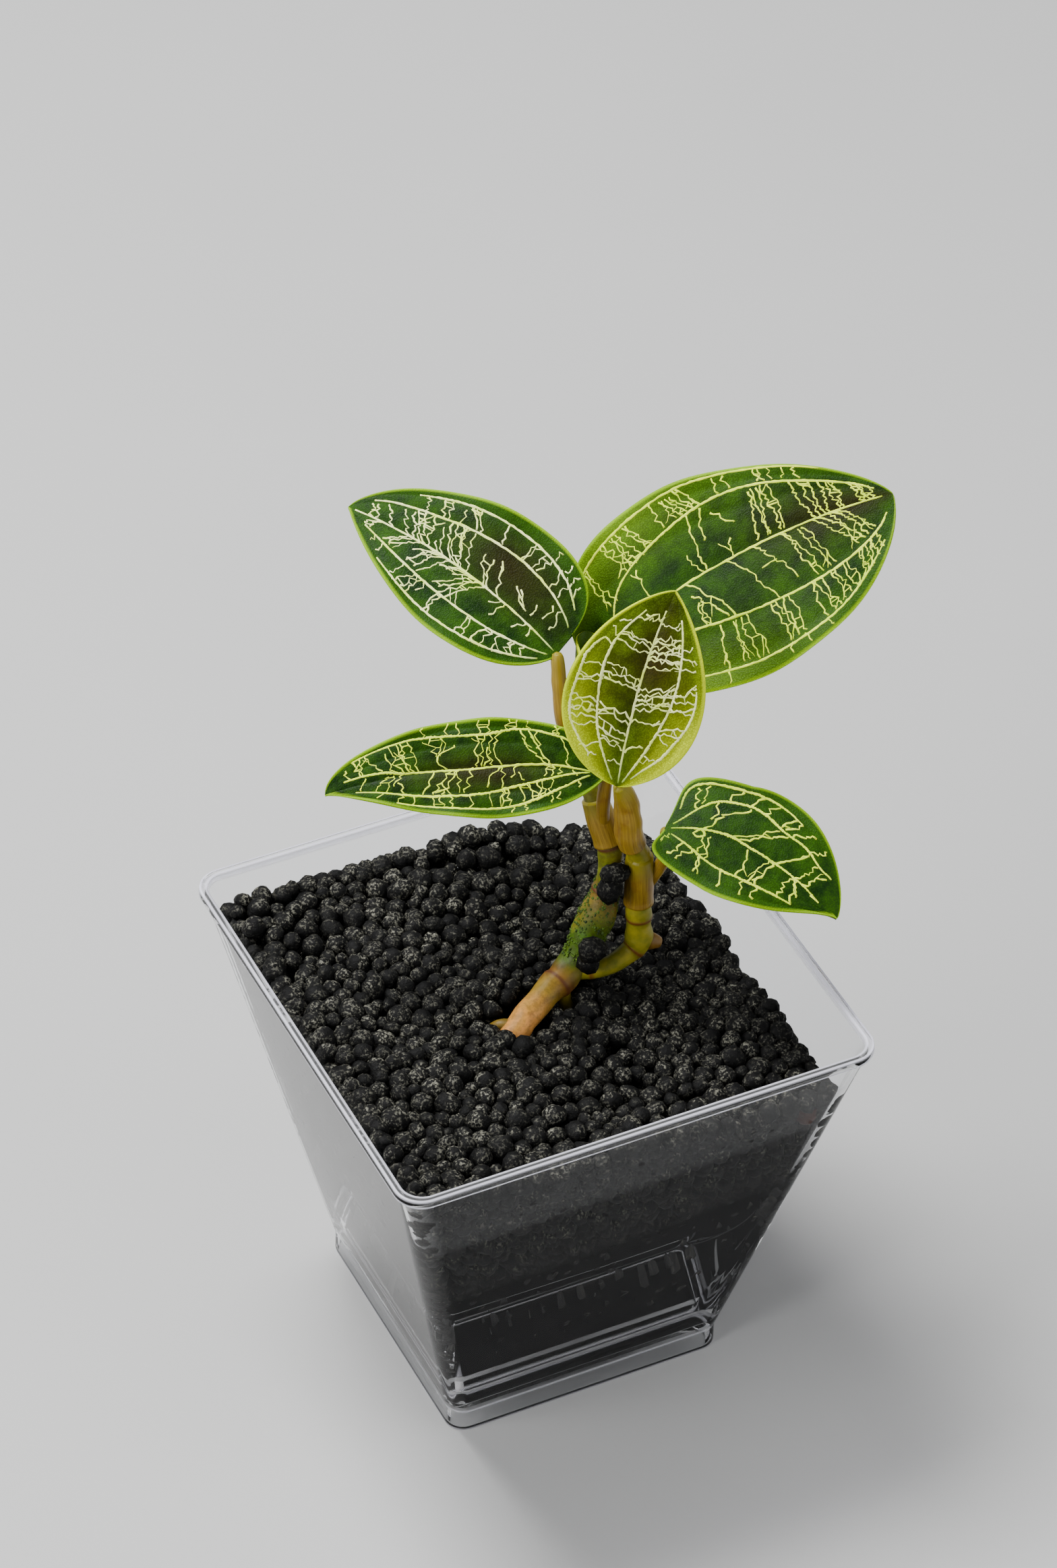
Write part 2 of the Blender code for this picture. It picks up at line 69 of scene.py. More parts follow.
# Granules. The fill's surface slopes to the right and is heaped at the back left and at the back.
# FILL_SETTLE is how far it then lies under FILL_HEIGHT. UNDER_SINK is how far the second layer lies
# under the first.
FILL_HEIGHT = 60.6
FILL_SLOPE = 0.08
FILL_LOW_CORNER = 1.2
FILL_HEAP = 1.8
FILL_BACK = 3.4
FILL_BACK_MIDDLE = 5
FILL_BACK_WIDTH = 22
FILL_SETTLE = 0.5
WALL_FILL_TOP = 63.0
GRAIN_SMALL = 1.15
GRAIN_LARGE = 2.05
TOP_GRAINS = 640
UNDER_GRAINS = 520
UNDER_SINK = 2.4
WALL_GRAINS = 400
FLOOR_GRAINS = 190
GRAIN_SEED = 5
CORE_TONE = 0.3
# Granules that rest against the stem: their middles and radii.
PERCHED = [(12.6, -0.5, 81.1, 1.9), (11.6, -0.9, 78.6, 2.1), (8.1, -2.5, 69.5, 2.3),
           (7.9, -2.1, 66.9, 1.6), (-7.4, -6.6, 61.2, 1.8), (-5.6, -8.6, 61.0, 1.7),
           (-8.6, -4.4, 61.0, 1.6), (-9.4, -7.2, 61.2, 1.9)]

# Leaves. Each has its stalk end and tip, the way its face looks, both sides' half widths with the
# powers that shape them, how far it lifts, bends, curls, reaches back and waves, the middle of its
# warm patch across and along, how much lime it has near the stalk, and a seed for its veins. A patch
# that lies past the tip isn't seen.
BLADE = 0.42
VEIN_RAISED = 0.07
MAIN_VEIN_WIDTH = 0.43
RIB_INNER = 0.50
RIB_OUTER = 0.82
MIDRIB_GROOVE = 0.35
RIB_GROOVE = 0.16
NO_PATCH = (0.0, 2.0)

LEAVES = {
    "leaf_upper_left": dict(
        base=(11.2, 17.1, 109.0), tip=(-7.6, 47.3, 120.0), facing=(-0.24, -0.47, 0.85),
        half=(12.0, 10.2), swell=(0.22, 0.7), taper=(0.57, 0.96),
        lift=1.8, sway=-1.8, curl=0.05, lobe=0.0, wave=(0.35, 2.5, 0.2),
        heart=(-0.35, 0.32), glow=0.0, seed=11),
    "leaf_upper_right": dict(
        base=(17.2, 20.0, 103.0), tip=(61.2, 11.4, 126.0), facing=(-0.24, -0.47, 0.85),
        half=(18.0, 14.2), swell=(0.69, 0.34), taper=(0.68, 0.68),
        lift=2.5, sway=2.6, curl=0.05, lobe=0.0, wave=(0.5, 3.0, 0.6),
        heart=(0.1, 0.86), glow=0.8, seed=12),
    "leaf_front": dict(
        base=(12.2, -0.9, 98.3), tip=(22.8, 4.0, 126.8), facing=(-0.32, -0.62, 0.72),
        half=(9.7, 10.2), swell=(0.72, 0.52), taper=(0.9, 0.69),
        lift=1.5, sway=1.0, curl=0.05, lobe=0.0, wave=(0.25, 2.0, 0.0),
        heart=(-0.15, 0.66), glow=1.9, seed=13),
    "leaf_lower_left": dict(
        base=(12.0, 2.1, 98.1), tip=(-24.9, 17.3, 95.5), facing=(-0.29, -0.57, 0.77),
        half=(7.0, 7.4), swell=(0.3, 0.83), taper=(0.45, 1.2),
        lift=1.5, sway=-2.2, curl=0.05, lobe=0.0, wave=(0.5, 3.5, 0.1),
        heart=(0.1, 0.45), glow=0.0, seed=14),
    "leaf_lower_right": dict(
        base=(19.0, -2.8, 89.0), tip=(36.5, -23.0, 82.0), facing=(-0.19, -0.37, 0.91),
        half=(8.4, 10.0), swell=(0.85, 0.46), taper=(1.2, 0.58),
        lift=2.0, sway=2.5, curl=-0.05, lobe=3.6, wave=(0.3, 2.0, 0.5),
        heart=NO_PATCH, glow=0.0, seed=15),
}

# The young leaf is rolled up round its own line, which bows a little.
YOUNG_LEAF = dict(
    base=(12.0, 11.2, 95.2), tip=(17.4, 20.0, 109.2), facing=(-0.34, -0.67, 0.66),
    half=(4.6, 4.6), swell=1.5, taper=0.8, roll=1.6, spiral=0.3, bow=(0.3, -0.2, 0.6),
    heart=NO_PATCH, glow=1.0, seed=16)

# Veins, in hundredths of the leaf's length from its stalk and of its half width from the midrib, where
# less than nothing is to the midrib's other side.
# MAIN_VEINS holds the places that each main vein runs through, from the stalk to the tip. CROSS_VEINS
# holds where each bundle of cross veins starts and ends, and how many strands it has.
MAIN_VEINS = {
    "leaf_upper_left": [
        [(2, 0), (50, 0), (97, 0)],
        [(3, -45), (30, -53), (70, -52), (93, -60)],
        [(5, -66), (20, -77), (60, -84), (80, -84)],
        [(3, 40), (30, 49), (70, 50), (90, 45)],
        [(5, 70), (30, 80), (60, 84), (78, 86)]],
    "leaf_upper_right": [
        [(2, 0), (50, 0), (97, 2)],
        [(12, 10), (20, 42), (40, 60), (65, 73), (90, 63), (96, 50)],
        [(5, 82), (20, 87), (50, 94), (85, 96)],
        [(15, -25), (30, -38), (60, -50), (90, -57), (96, -50)],
        [(15, -80), (40, -86), (70, -89), (92, -82)]],
    "leaf_front": [
        [(2, 0), (50, 0), (90, 3)],
        [(3, 25), (20, 40), (40, 51), (70, 63), (88, 55)],
        [(13, 65), (20, 78), (30, 88), (50, 88), (62, 91), (70, 82), (68, 63)],
        [(3, -25), (20, -37), (40, -48), (60, -56), (88, -60)],
        [(6, -45), (20, -68), (30, -75), (45, -85), (58, -86)]],
    "leaf_lower_left": [
        [(2, 0), (20, -8), (50, 3), (70, -5), (80, -18), (93, -28)],
        [(5, -55), (15, -73), (30, -77), (42, -66), (55, -70), (70, -78), (90, -85)],
        [(6, 5), (20, 25), (35, 42), (50, 55), (70, 58), (89, 48)],
        [(6, 20), (15, 50), (30, 76), (50, 82), (75, 86)]],
    "leaf_lower_right": [
        [(3, 8), (17, 10), (30, 10), (42, 5), (58, 0), (70, -3), (80, -10), (88, -24)],
        [(3, 25), (10, 42), (20, 60), (30, 65), (42, 60), (56, 50), (70, 53), (80, 50), (88, 62)],
        [(5, 66), (10, 88), (30, 88), (50, 82), (62, 78)],
        [(5, -30), (20, -42), (32, -53), (50, -57), (65, -63), (76, -74)],
        [(14, 0), (17, 9), (20, 0), (17, -9), (14, 0)]],
    "leaf_young": [
        [(8, 0), (50, 0), (92, 0)],
        [(14, 40), (40, 55), (70, 60), (88, 45)],
        [(14, -40), (40, -55), (70, -60), (88, -45)]],
}
CROSS_VEINS = {
    "leaf_upper_left": [
        (37, 0, 43, -33, 2), (31, 0, 38, -38, 1), (48, 0, 55, -50, 2), (51, 0, 60, -52, 2),
        (54, 0, 63, -50, 1), (57, 0, 65, -38, 1), (60, 0, 63, -14, 1), (66, 0, 73, -50, 3),
        (72, 0, 79, -45, 2), (80, 0, 87, -50, 1), (89, 0, 92, -45, 2), (20, -10, 27, -25, 2),
        (17, -10, 17, -25, 1), (13, -18, 13, -40, 1), (8, -15, 8, -45, 1), (13, -52, 12, -78, 1),
        (18, -52, 18, -78, 1), (27, -55, 25, -76, 2), (33, -52, 31, -80, 2), (42, -55, 44, -82, 1),
        (53, -55, 58, -82, 2), (59, -52, 61, -75, 1), (66, -50, 69, -82, 2), (74, -50, 77, -82, 1),
        (12, -80, 11, -93, 1), (17, -80, 16, -92, 1), (22, -80, 21, -92, 1), (8, -70, 8, -88, 1),
        (26, 0, 30, 30, 1), (28, 0, 33, 15, 1), (38, 0, 49, 48, 2), (40, 0, 53, 42, 2),
        (44, 0, 54, 15, 3), (54, 0, 62, 45, 1), (57, 0, 66, 42, 2), (60, 0, 67, 20, 2),
        (68, 0, 77, 42, 1), (72, 0, 79, 40, 2), (86, 0, 89, 40, 2), (17, 0, 20, 25, 1),
        (13, 0, 14, 22, 1), (49, 48, 50, 82, 2), (60, 48, 64, 82, 3), (57, 48, 58, 70, 1),
        (68, 50, 70, 80, 1), (35, 48, 35, 80, 2), (26, 48, 27, 82, 2), (21, 48, 20, 80, 1),
        (16, 48, 15, 75, 2), (12, 45, 11, 70, 1), (79, 48, 80, 75, 1), (83, 45, 84, 70, 1)],
    "leaf_upper_right": [
        (26, 3, 26, 42, 1), (43, 2, 41, 25, 1), (44, 2, 46, 62, 1), (47, 30, 50, 64, 1),
        (52, 55, 57, 35, 1), (52, 0, 54, 20, 1), (60, 5, 64, 65, 1), (64, 5, 66, 68, 2),
        (68, 5, 69, 70, 2), (78, 2, 76, 70, 1), (80, 2, 79, 70, 2), (82, 2, 83, 68, 1),
        (86, 2, 86, 68, 2), (92, 0, 91, 60, 2), (95, 0, 94, 60, 2), (12, 85, 16, 30, 2),
        (20, 87, 24, 48, 2), (24, 86, 28, 50, 3), (28, 87, 32, 55, 2), (38, 92, 39, 62, 1),
        (42, 88, 46, 65, 4), (46, 92, 50, 66, 2), (57, 92, 57, 72, 1), (60, 92, 60, 75, 1),
        (69, 94, 69, 76, 2), (72, 94, 72, 76, 1), (76, 94, 75, 76, 1), (79, 94, 79, 74, 1),
        (36, 0, 45, -46, 1), (36, -12, 43, -42, 1), (38, -20, 37, -42, 2), (49, 0, 59, -50, 1),
        (58, -20, 63, -19, 1), (58, 0, 66, -42, 1), (67, 0, 72, -50, 2), (72, -3, 76, -50, 2),
        (77, 0, 86, -50, 2), (83, 0, 90, -50, 2), (81, 0, 85, -45, 1), (40, -45, 37, -85, 1),
        (44, -47, 42, -82, 2), (47, -47, 47, -85, 2), (56, -50, 57, -85, 2), (60, -50, 60, -85, 2),
        (68, -52, 68, -87, 1), (70, -53, 72, -87, 2), (75, -55, 76, -85, 2), (79, -55, 80, -87, 2),
        (85, -56, 84, -87, 3), (89, -56, 89, -87, 3), (56, -87, 55, -95, 1), (60, -87, 61, -96, 1),
        (36, -86, 35, -97, 1), (68, -88, 69, -96, 1), (22, -38, 21, -80, 1), (28, -40, 28, -84, 2)],
    "leaf_front": [
        (11, 0, 12, 28, 1), (19, 2, 22, 40, 1), (22, 10, 24, 38, 1), (25, 2, 30, 45, 2),
        (33, 0, 38, 47, 2), (49, 0, 52, 52, 1), (53, 0, 57, 57, 2), (69, 0, 73, 62, 2),
        (72, 0, 75, 62, 1), (84, 2, 83, 58, 1), (87, 0, 86, 45, 1), (20, 42, 16, 80, 1),
        (13, 50, 11, 70, 1), (29, 48, 26, 85, 1), (31, 48, 30, 90, 1), (34, 50, 32, 88, 1),
        (36, 55, 36, 90, 2), (39, 53, 40, 90, 1), (52, 53, 49, 88, 2), (57, 58, 57, 90, 1),
        (73, 63, 76, 85, 1), (82, 64, 80, 82, 1), (18, -3, 23, -32, 1), (34, -2, 38, -46, 1),
        (39, 0, 45, -50, 1), (43, 0, 49, -52, 2), (47, 0, 52, -52, 3), (62, 0, 66, -55, 1),
        (65, 0, 69, -57, 1), (67, 0, 71, -57, 2), (70, 0, 74, -57, 2), (74, 0, 77, -58, 2),
        (83, 0, 84, -55, 1), (20, -40, 19, -65, 1), (16, -35, 17, -55, 1), (33, -45, 36, -80, 2),
        (32, -50, 29, -68, 1), (45, -52, 47, -85, 2), (52, -52, 54, -86, 2), (53, -54, 60, -86, 1),
        (66, -56, 67, -85, 1), (71, -57, 70, -88, 1), (74, -58, 78, -82, 1)],
    "leaf_lower_left": [
        (12, -5, 15, -72, 1), (20, -8, 28, -76, 2), (24, -40, 23, -75, 1), (37, -5, 39, -45, 1),
        (39, -45, 35, -72, 1), (40, -5, 40, -65, 1), (45, -3, 44, -66, 2), (43, -3, 41, -40, 1),
        (56, 0, 59, -30, 1), (59, -30, 60, -72, 2), (59, -30, 53, -50, 1), (57, -40, 57, -72, 1),
        (67, -5, 71, -76, 2), (70, -5, 75, -78, 2), (74, -10, 78, -65, 1), (79, -18, 85, -80, 1),
        (86, -22, 88, -80, 2), (90, -25, 92, -70, 1), (64, -76, 64, -97, 1), (55, -70, 55, -96, 1),
        (52, -68, 52, -94, 1), (43, -66, 42, -95, 2), (33, -75, 32, -97, 2), (27, -77, 27, -98, 1),
        (17, -75, 16, -97, 2), (12, 0, 11, 20, 1), (16, -5, 17, 15, 1), (20, -8, 21, 20, 2),
        (30, -5, 34, 22, 1), (31, 12, 29, 28, 1), (37, 0, 42, 40, 1), (37, 0, 37, 42, 1),
        (47, 0, 51, 50, 1), (52, 2, 53, 50, 1), (52, 2, 60, 55, 2), (60, 0, 65, 56, 1),
        (71, -5, 75, 30, 1), (74, 20, 72, 55, 1), (76, -5, 80, 50, 2), (85, -15, 87, 40, 1),
        (20, 25, 20, 65, 1), (24, 30, 23, 68, 2), (29, 36, 27, 72, 3), (36, 42, 36, 76, 2),
        (38, 44, 38, 78, 1), (41, 46, 41, 76, 1), (49, 54, 50, 80, 1), (56, 57, 55, 82, 1),
        (60, 57, 60, 83, 2), (69, 58, 70, 85, 1), (73, 58, 74, 85, 1), (80, 52, 82, 75, 1),
        (10, 40, 10, 62, 1), (17, 62, 17, 82, 1), (20, 68, 20, 86, 1), (30, 78, 30, 92, 1),
        (35, 78, 35, 92, 1)],
    "leaf_lower_right": [
        (13, 50, 14, 85, 1), (15, 58, 19, 86, 1), (26, 65, 29, 86, 1), (34, 63, 38, 85, 1),
        (42, 60, 47, 80, 1), (54, 55, 60, 78, 2), (61, 52, 72, 80, 1), (73, 50, 80, 85, 1),
        (20, 30, 22, 60, 1), (18, 12, 22, 30, 1), (22, 30, 35, 60, 1), (32, 8, 56, 47, 2),
        (60, 2, 73, 47, 1), (71, 0, 79, 46, 1), (76, -5, 86, 48, 1), (19, -2, 22, -42, 1),
        (23, 0, 26, -50, 1), (43, 0, 44, -57, 1), (58, 0, 53, -57, 2), (70, -5, 67, -62, 1),
        (71, -5, 75, -72, 1), (72, -5, 76, -50, 1), (84, -14, 86, -24, 1), (4, -35, 7, -80, 1),
        (14, -40, 15, -80, 1), (20, -42, 20, -78, 1), (24, -50, 26, -80, 1), (25, -50, 28, -80, 1),
        (36, -56, 38, -85, 1), (49, -57, 50, -85, 1), (57, -58, 58, -85, 1)],
    "leaf_young": [
        (25, 0, 30, 50, 2), (45, 0, 50, 55, 1), (62, 0, 66, 58, 2), (28, 0, 33, -50, 1),
        (48, 0, 52, -55, 2), (66, 0, 70, -58, 1)],
}
STRAND_WIDTH = {"leaf_upper_left": 0.28, "leaf_upper_right": 0.31, "leaf_front": 0.31,
                "leaf_lower_left": 0.25, "leaf_lower_right": 0.36, "leaf_young": 0.26}
STRAND_STEP = 0.42
STRAND_FORKS = 0.45

# Stem, side shoot and roots: points with their radius. Marks are the shares of the length where
# swollen rings, the collars, lie. ROOT_BROWN says how brown each root is.
MAIN_STEM = [
    (-13.0, -9.0, 54.5, 1.5), (-9.0, -7.0, 58.0, 1.8), (-4.5, -4.6, 60.8, 2.0),
    (1.2, -1.2, 61.9, 2.05), (5.2, 0.4, 63.0, 2.35), (7.6, 1.2, 65.0, 2.15),
    (9.6, 1.6, 68.4, 2.6), (11.2, 1.8, 72.0, 2.65), (12.4, 2.0, 75.2, 2.1),
    (13.0, 2.2, 77.3, 1.95), (13.3, 2.5, 80.0, 1.65), (13.4, 2.75, 82.2, 1.85),
    (13.2, 3.3, 84.2, 1.75), (12.3, 6.0, 90.3, 1.5), (12.2, 7.6, 93.0, 1.7),
    (12.2, 9.4, 95.5, 2.2)]
SIDE_SHOOT = [
    (6.4, 0.7, 63.3, 1.3), (11.1, -1.1, 63.9, 1.35), (15.2, -1.2, 65.4, 1.6),
    (16.6, -1.0, 67.4, 2.1), (16.6, -0.7, 70.2, 1.8), (16.6, -0.6, 72.7, 1.9),
    (16.6, -0.6, 75.0, 1.6), (16.6, -0.3, 82.5, 1.6), (16.2, -0.3, 84.0, 1.6),
    (15.3, -0.4, 86.0, 1.7)]
ROOTS = [
    [(-9.0, -7.0, 58.0, 1.2), (-9.6, -5.0, 51.0, 1.1), (-7.0, -3.0, 42.0, 0.9)],
    [(4.6, 0.2, 62.6, 1.2), (5.6, -1.2, 55.0, 1.1), (3.0, -3.0, 46.0, 0.9)],
    [(-4.6, -4.6, 60.9, 1.2), (-6.8, -3.2, 60.9, 1.0), (-9.0, -2.4, 59.2, 0.8)],
    [(16.8, -1.0, 67.2, 1.4), (18.4, -1.4, 66.6, 1.3), (19.6, -1.6, 65.9, 0.9)],
]
ROOT_BROWN = (0.35, 0.35, 0.6, 0.75)
MAIN_MARKS = (0.36, 0.64, 0.77)
SHOOT_MARKS = (0.10, 0.33, 0.52)
COLLAR_WIDTH = 0.35
COLLAR_SWELL = 0.07
STEM_RIPPLE = 0.035
STALK_RIPPLE = 0.03
MOSS_LUMPS = 900
MOSS_SMALL = 0.08
MOSS_LARGE = 0.24

# Stalks: points with their radius. The last two have the sheath round the stem first, and then the
# stalk that leaves it.
STALK_SIDES = 30
STALKS = {
    "stalk_upper_left": [
        [(10.9, 9.6, 95.85, 0.95), (10.4, 10.3, 97.0, 1.05), (10.3, 13.3, 101.9, 1.15),
         (11.05, 16.5, 107.95, 1.0), (11.2, 17.3, 109.2, 0.7)]],
    "stalk_upper_right": [
        [(13.6, 9.5, 95.95, 0.85), (14.4, 10.1, 96.6, 0.9), (16.4, 15.2, 98.3, 1.05),
         (16.8, 18.9, 101.8, 1.0), (17.2, 20.1, 103.0, 0.7)]],
    "stalk_front": [
        [(15.2, -0.45, 85.9, 1.9), (14.5, -0.55, 88.5, 2.05), (14.2, -0.3, 93.0, 1.9),
         (13.4, -0.5, 96.2, 1.5), (12.5, -0.8, 98.0, 0.9)]],
    "stalk_lower_left": [
        [(13.3, 3.2, 83.9, 2.15), (12.75, 4.7, 87.4, 2.15), (12.3, 6.0, 90.3, 1.95)],
        [(12.5, 3.6, 88.0, 0.9), (12.1, 3.0, 92.5, 1.0), (12.2, 2.5, 97.0, 0.9),
         (12.0, 2.1, 98.1, 0.6)]],
    "stalk_lower_right": [
        [(16.6, -0.6, 74.3, 2.05), (16.6, -0.45, 78.5, 2.15), (16.6, -0.3, 82.7, 2.0)],
        [(17.9, -0.8, 77.5, 0.9), (19.3, -1.8, 81.5, 1.0), (19.9, -2.4, 85.0, 1.0),
         (19.3, -2.75, 88.15, 0.9), (19.0, -2.8, 89.0, 0.6)]],
}

# Stage, in metres and watts. The camera's turn, rise and roll are in degrees, and its lens is given
# in pixels of the photograph's height.
FLOOR_REACH = 4.0
LIGHTS = (("key", (-0.15, 0.35, 0.85), 0.35, 15.0),
          ("fill", (0.65, -0.55, 0.45), 0.7, 3.5),
          ("side", (-0.75, -0.1, 0.5), 0.5, 6.0))
LIGHTS_AIM = (0, 0, 0.07)
SKY_COLOUR = (0.93, 0.95, 1.0, 1.0)
SKY_STRENGTH = 0.32
CAMERA_ANGLES = (26.90, 41.43, 1.59)
CAMERA_DISTANCE = 0.892
CAMERA_AIM = (0, 0, 0.040)
CAMERA_LIFT = 0.0468
SENSOR = 36.0
LENS_PIXELS = 9000
PHOTO_HEIGHT = 2326


def unit(vectors):
    """Vectors scaled to length one along their last axis."""
    vectors = np.asarray(vectors, dtype=float)
    return vectors / np.maximum(np.linalg.norm(vectors, axis=-1, keepdims=True), 1e-12)


def placed(name, data):
    """A new object of a mesh, a light or a camera, put into the scene."""
    thing = bpy.data.objects.new(name, data)
    bpy.context.scene.collection.objects.link(thing)
    return thing


def new_piece(name, points, faces, replaced, material, uv=None, values=None):
    """A smooth closed mesh from points in millimetres and groups of faces of one size each.

    uv holds one pair a point and values holds named numbers a point. replaced is the node that the
    piece stands for, if any.
    """
    mesh = bpy.data.meshes.new(name)
    loops = np.concatenate([group.ravel() for group in faces])
    sizes = np.concatenate([np.full(len(group), group.shape[1]) for group in faces])
    starts = np.concatenate([[0], np.cumsum(sizes)[:-1]])
    mesh.vertices.add(len(points))
    mesh.vertices.foreach_set("co", (points * MM + PLACE).astype(np.float32).ravel())
    mesh.loops.add(len(loops))
    mesh.loops.foreach_set("vertex_index", loops.astype(np.int32))
    mesh.polygons.add(len(sizes))
    mesh.polygons.foreach_set("loop_start", starts.astype(np.int32))
    mesh.polygons.foreach_set("use_smooth", np.full(len(sizes), True))
    mesh.update(calc_edges=True)
    mesh.validate()
    if uv is not None:
        layer = mesh.uv_layers.new(name="surface")
        layer.data.foreach_set("uv", uv[loops].astype(np.float32).ravel())
    for label, numbers in (values or {}).items():
        attribute = mesh.attributes.new(label, "FLOAT", "POINT")
        attribute.data.foreach_set("value", np.asarray(numbers, dtype=np.float32).ravel())
    piece = placed(name, mesh)
    mesh.materials.append(material)
    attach(piece, "root")
    if replaced:
        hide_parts(replaced)
    outward(piece)
    return piece


def outward(piece):
    """Turn the faces of a closed piece outwards."""
    bm = bmesh.new()
    bm.from_mesh(piece.data)
    bmesh.ops.recalc_face_normals(bm, faces=bm.faces)
    bm.to_mesh(piece.data)
    bm.free()


def grid_faces(rows, columns, around=False):
    """Four-sided faces of a grid of points, row by row, closed round the columns where asked."""
    last = columns if around else columns - 1
    row, column = np.meshgrid(np.arange(rows - 1), np.arange(last), indexing="ij")
    following = (column + 1) % columns
    corners = [row * columns + column, row * columns + following,
               (row + 1) * columns + following, (row + 1) * columns + column]
    return np.stack(corners, -1).reshape(-1, 4)


def cap_faces(ring, pole, flip):
    """Three-sided faces from a closed ring of points to its pole."""
    ring = np.asarray(ring)
    following = np.roll(ring, -1)
    faces = np.stack([ring, following, np.full(len(ring), pole)], -1)
    return faces[:, ::-1] if flip else faces


def smooth_path(points, steps):
    """A smooth curve through the points: cubics that pass each point along its neighbours' chord."""
    points = np.array(points, dtype=float)
    padded = np.vstack([2 * points[0] - points[1], points, 2 * points[-1] - points[-2]])
    a, b, c, d = padded[:-3, None], padded[1:-2, None], padded[2:-1, None], padded[3:, None]
    t = (np.arange(steps) / steps)[None, :, None]
    curve = 0.5 * (2 * b + (c - a) * t + (2 * a - 5 * b + 4 * c - d) * t ** 2
                   + (3 * b - a - 3 * c + d) * t ** 3)
    return np.vstack([curve.reshape(-1, points.shape[1]), points[-1]])


def carried_frames(path):
    """A direction, a side and a rise at each point of a path. One guide keeps them from twisting."""
    guide = np.array([-0.5, 0.85, 0.15])
    ahead = unit(np.gradient(path, axis=0))
    side = unit(np.cross(ahead, guide))
    return ahead, side, np.cross(ahead, side)


def lengths_along(path):
    """How far along a path each of its points lies."""
    return np.concatenate([[0], np.cumsum(np.linalg.norm(np.diff(path, axis=0), axis=1))])


def tube(path, radius, sides, ripple, seed):
    """A round profile carried along a path: its points, its faces, and how far round each point is.

    The ripple swells the wall by a few slow waves along and round it, as living stems have. Each end
    closes on a pole that stands out by 0.4 of the end's radius.
    """
    ahead, side, rise = carried_frames(path)
    angle = np.linspace(0, 2 * np.pi, sides, endpoint=False)
    run = lengths_along(path)[:, None]
    rng = np.random.default_rng(seed)
    wall = np.ones((len(path), sides))
    for turns in (1, 2, 3, 5):
        phase = rng.uniform(0, 6.28, 2)
        wall += ripple * np.cos(turns * angle + phase[0] + 0.9 * run * rng.uniform(0.5, 1.5)
                                + np.sin(run * 0.7 + phase[1])) / turns
    reach = radius[:, None] * wall
    rings = (path[:, None] + reach[..., None] * (np.cos(angle)[None, :, None] * side[:, None]
                                                 + np.sin(angle)[None, :, None] * rise[:, None]))
    count = len(path) * sides
    points = np.vstack([rings.reshape(-1, 3), path[0] - ahead[0] * radius[0] * 0.4,
                        path[-1] + ahead[-1] * radius[-1] * 0.4])
    faces = [grid_faces(len(path), sides, around=True)[:, ::-1],
             cap_faces(np.arange(sides), count, False),
             cap_faces(np.arange(count - sides, count), count + 1, True)]
    return points, faces, np.append(np.tile(angle / (2 * np.pi), len(path)), [0, 0])


def each_ring(numbers, sides):
    """One number a ring, given to all of the ring's points and to the pole at either end."""
    return np.concatenate([np.repeat(numbers, sides), numbers[[0, -1]]])


def merge(parts):
    """Several point and face sets as one, with their numbers a point."""
    offset = 0
    points, faces, numbers = [], {}, {}
    for piece_points, piece_faces, piece_numbers in parts:
        for group in piece_faces:
            faces.setdefault(group.shape[1], []).append(group + offset)
        for label, value in piece_numbers.items():
            numbers.setdefault(label, []).append(value)
        points.append(piece_points)
        offset += len(piece_points)
    return (np.vstack(points), [np.vstack(group) for group in faces.values()],
            {label: np.concatenate(value) for label, value in numbers.items()})


# Materials

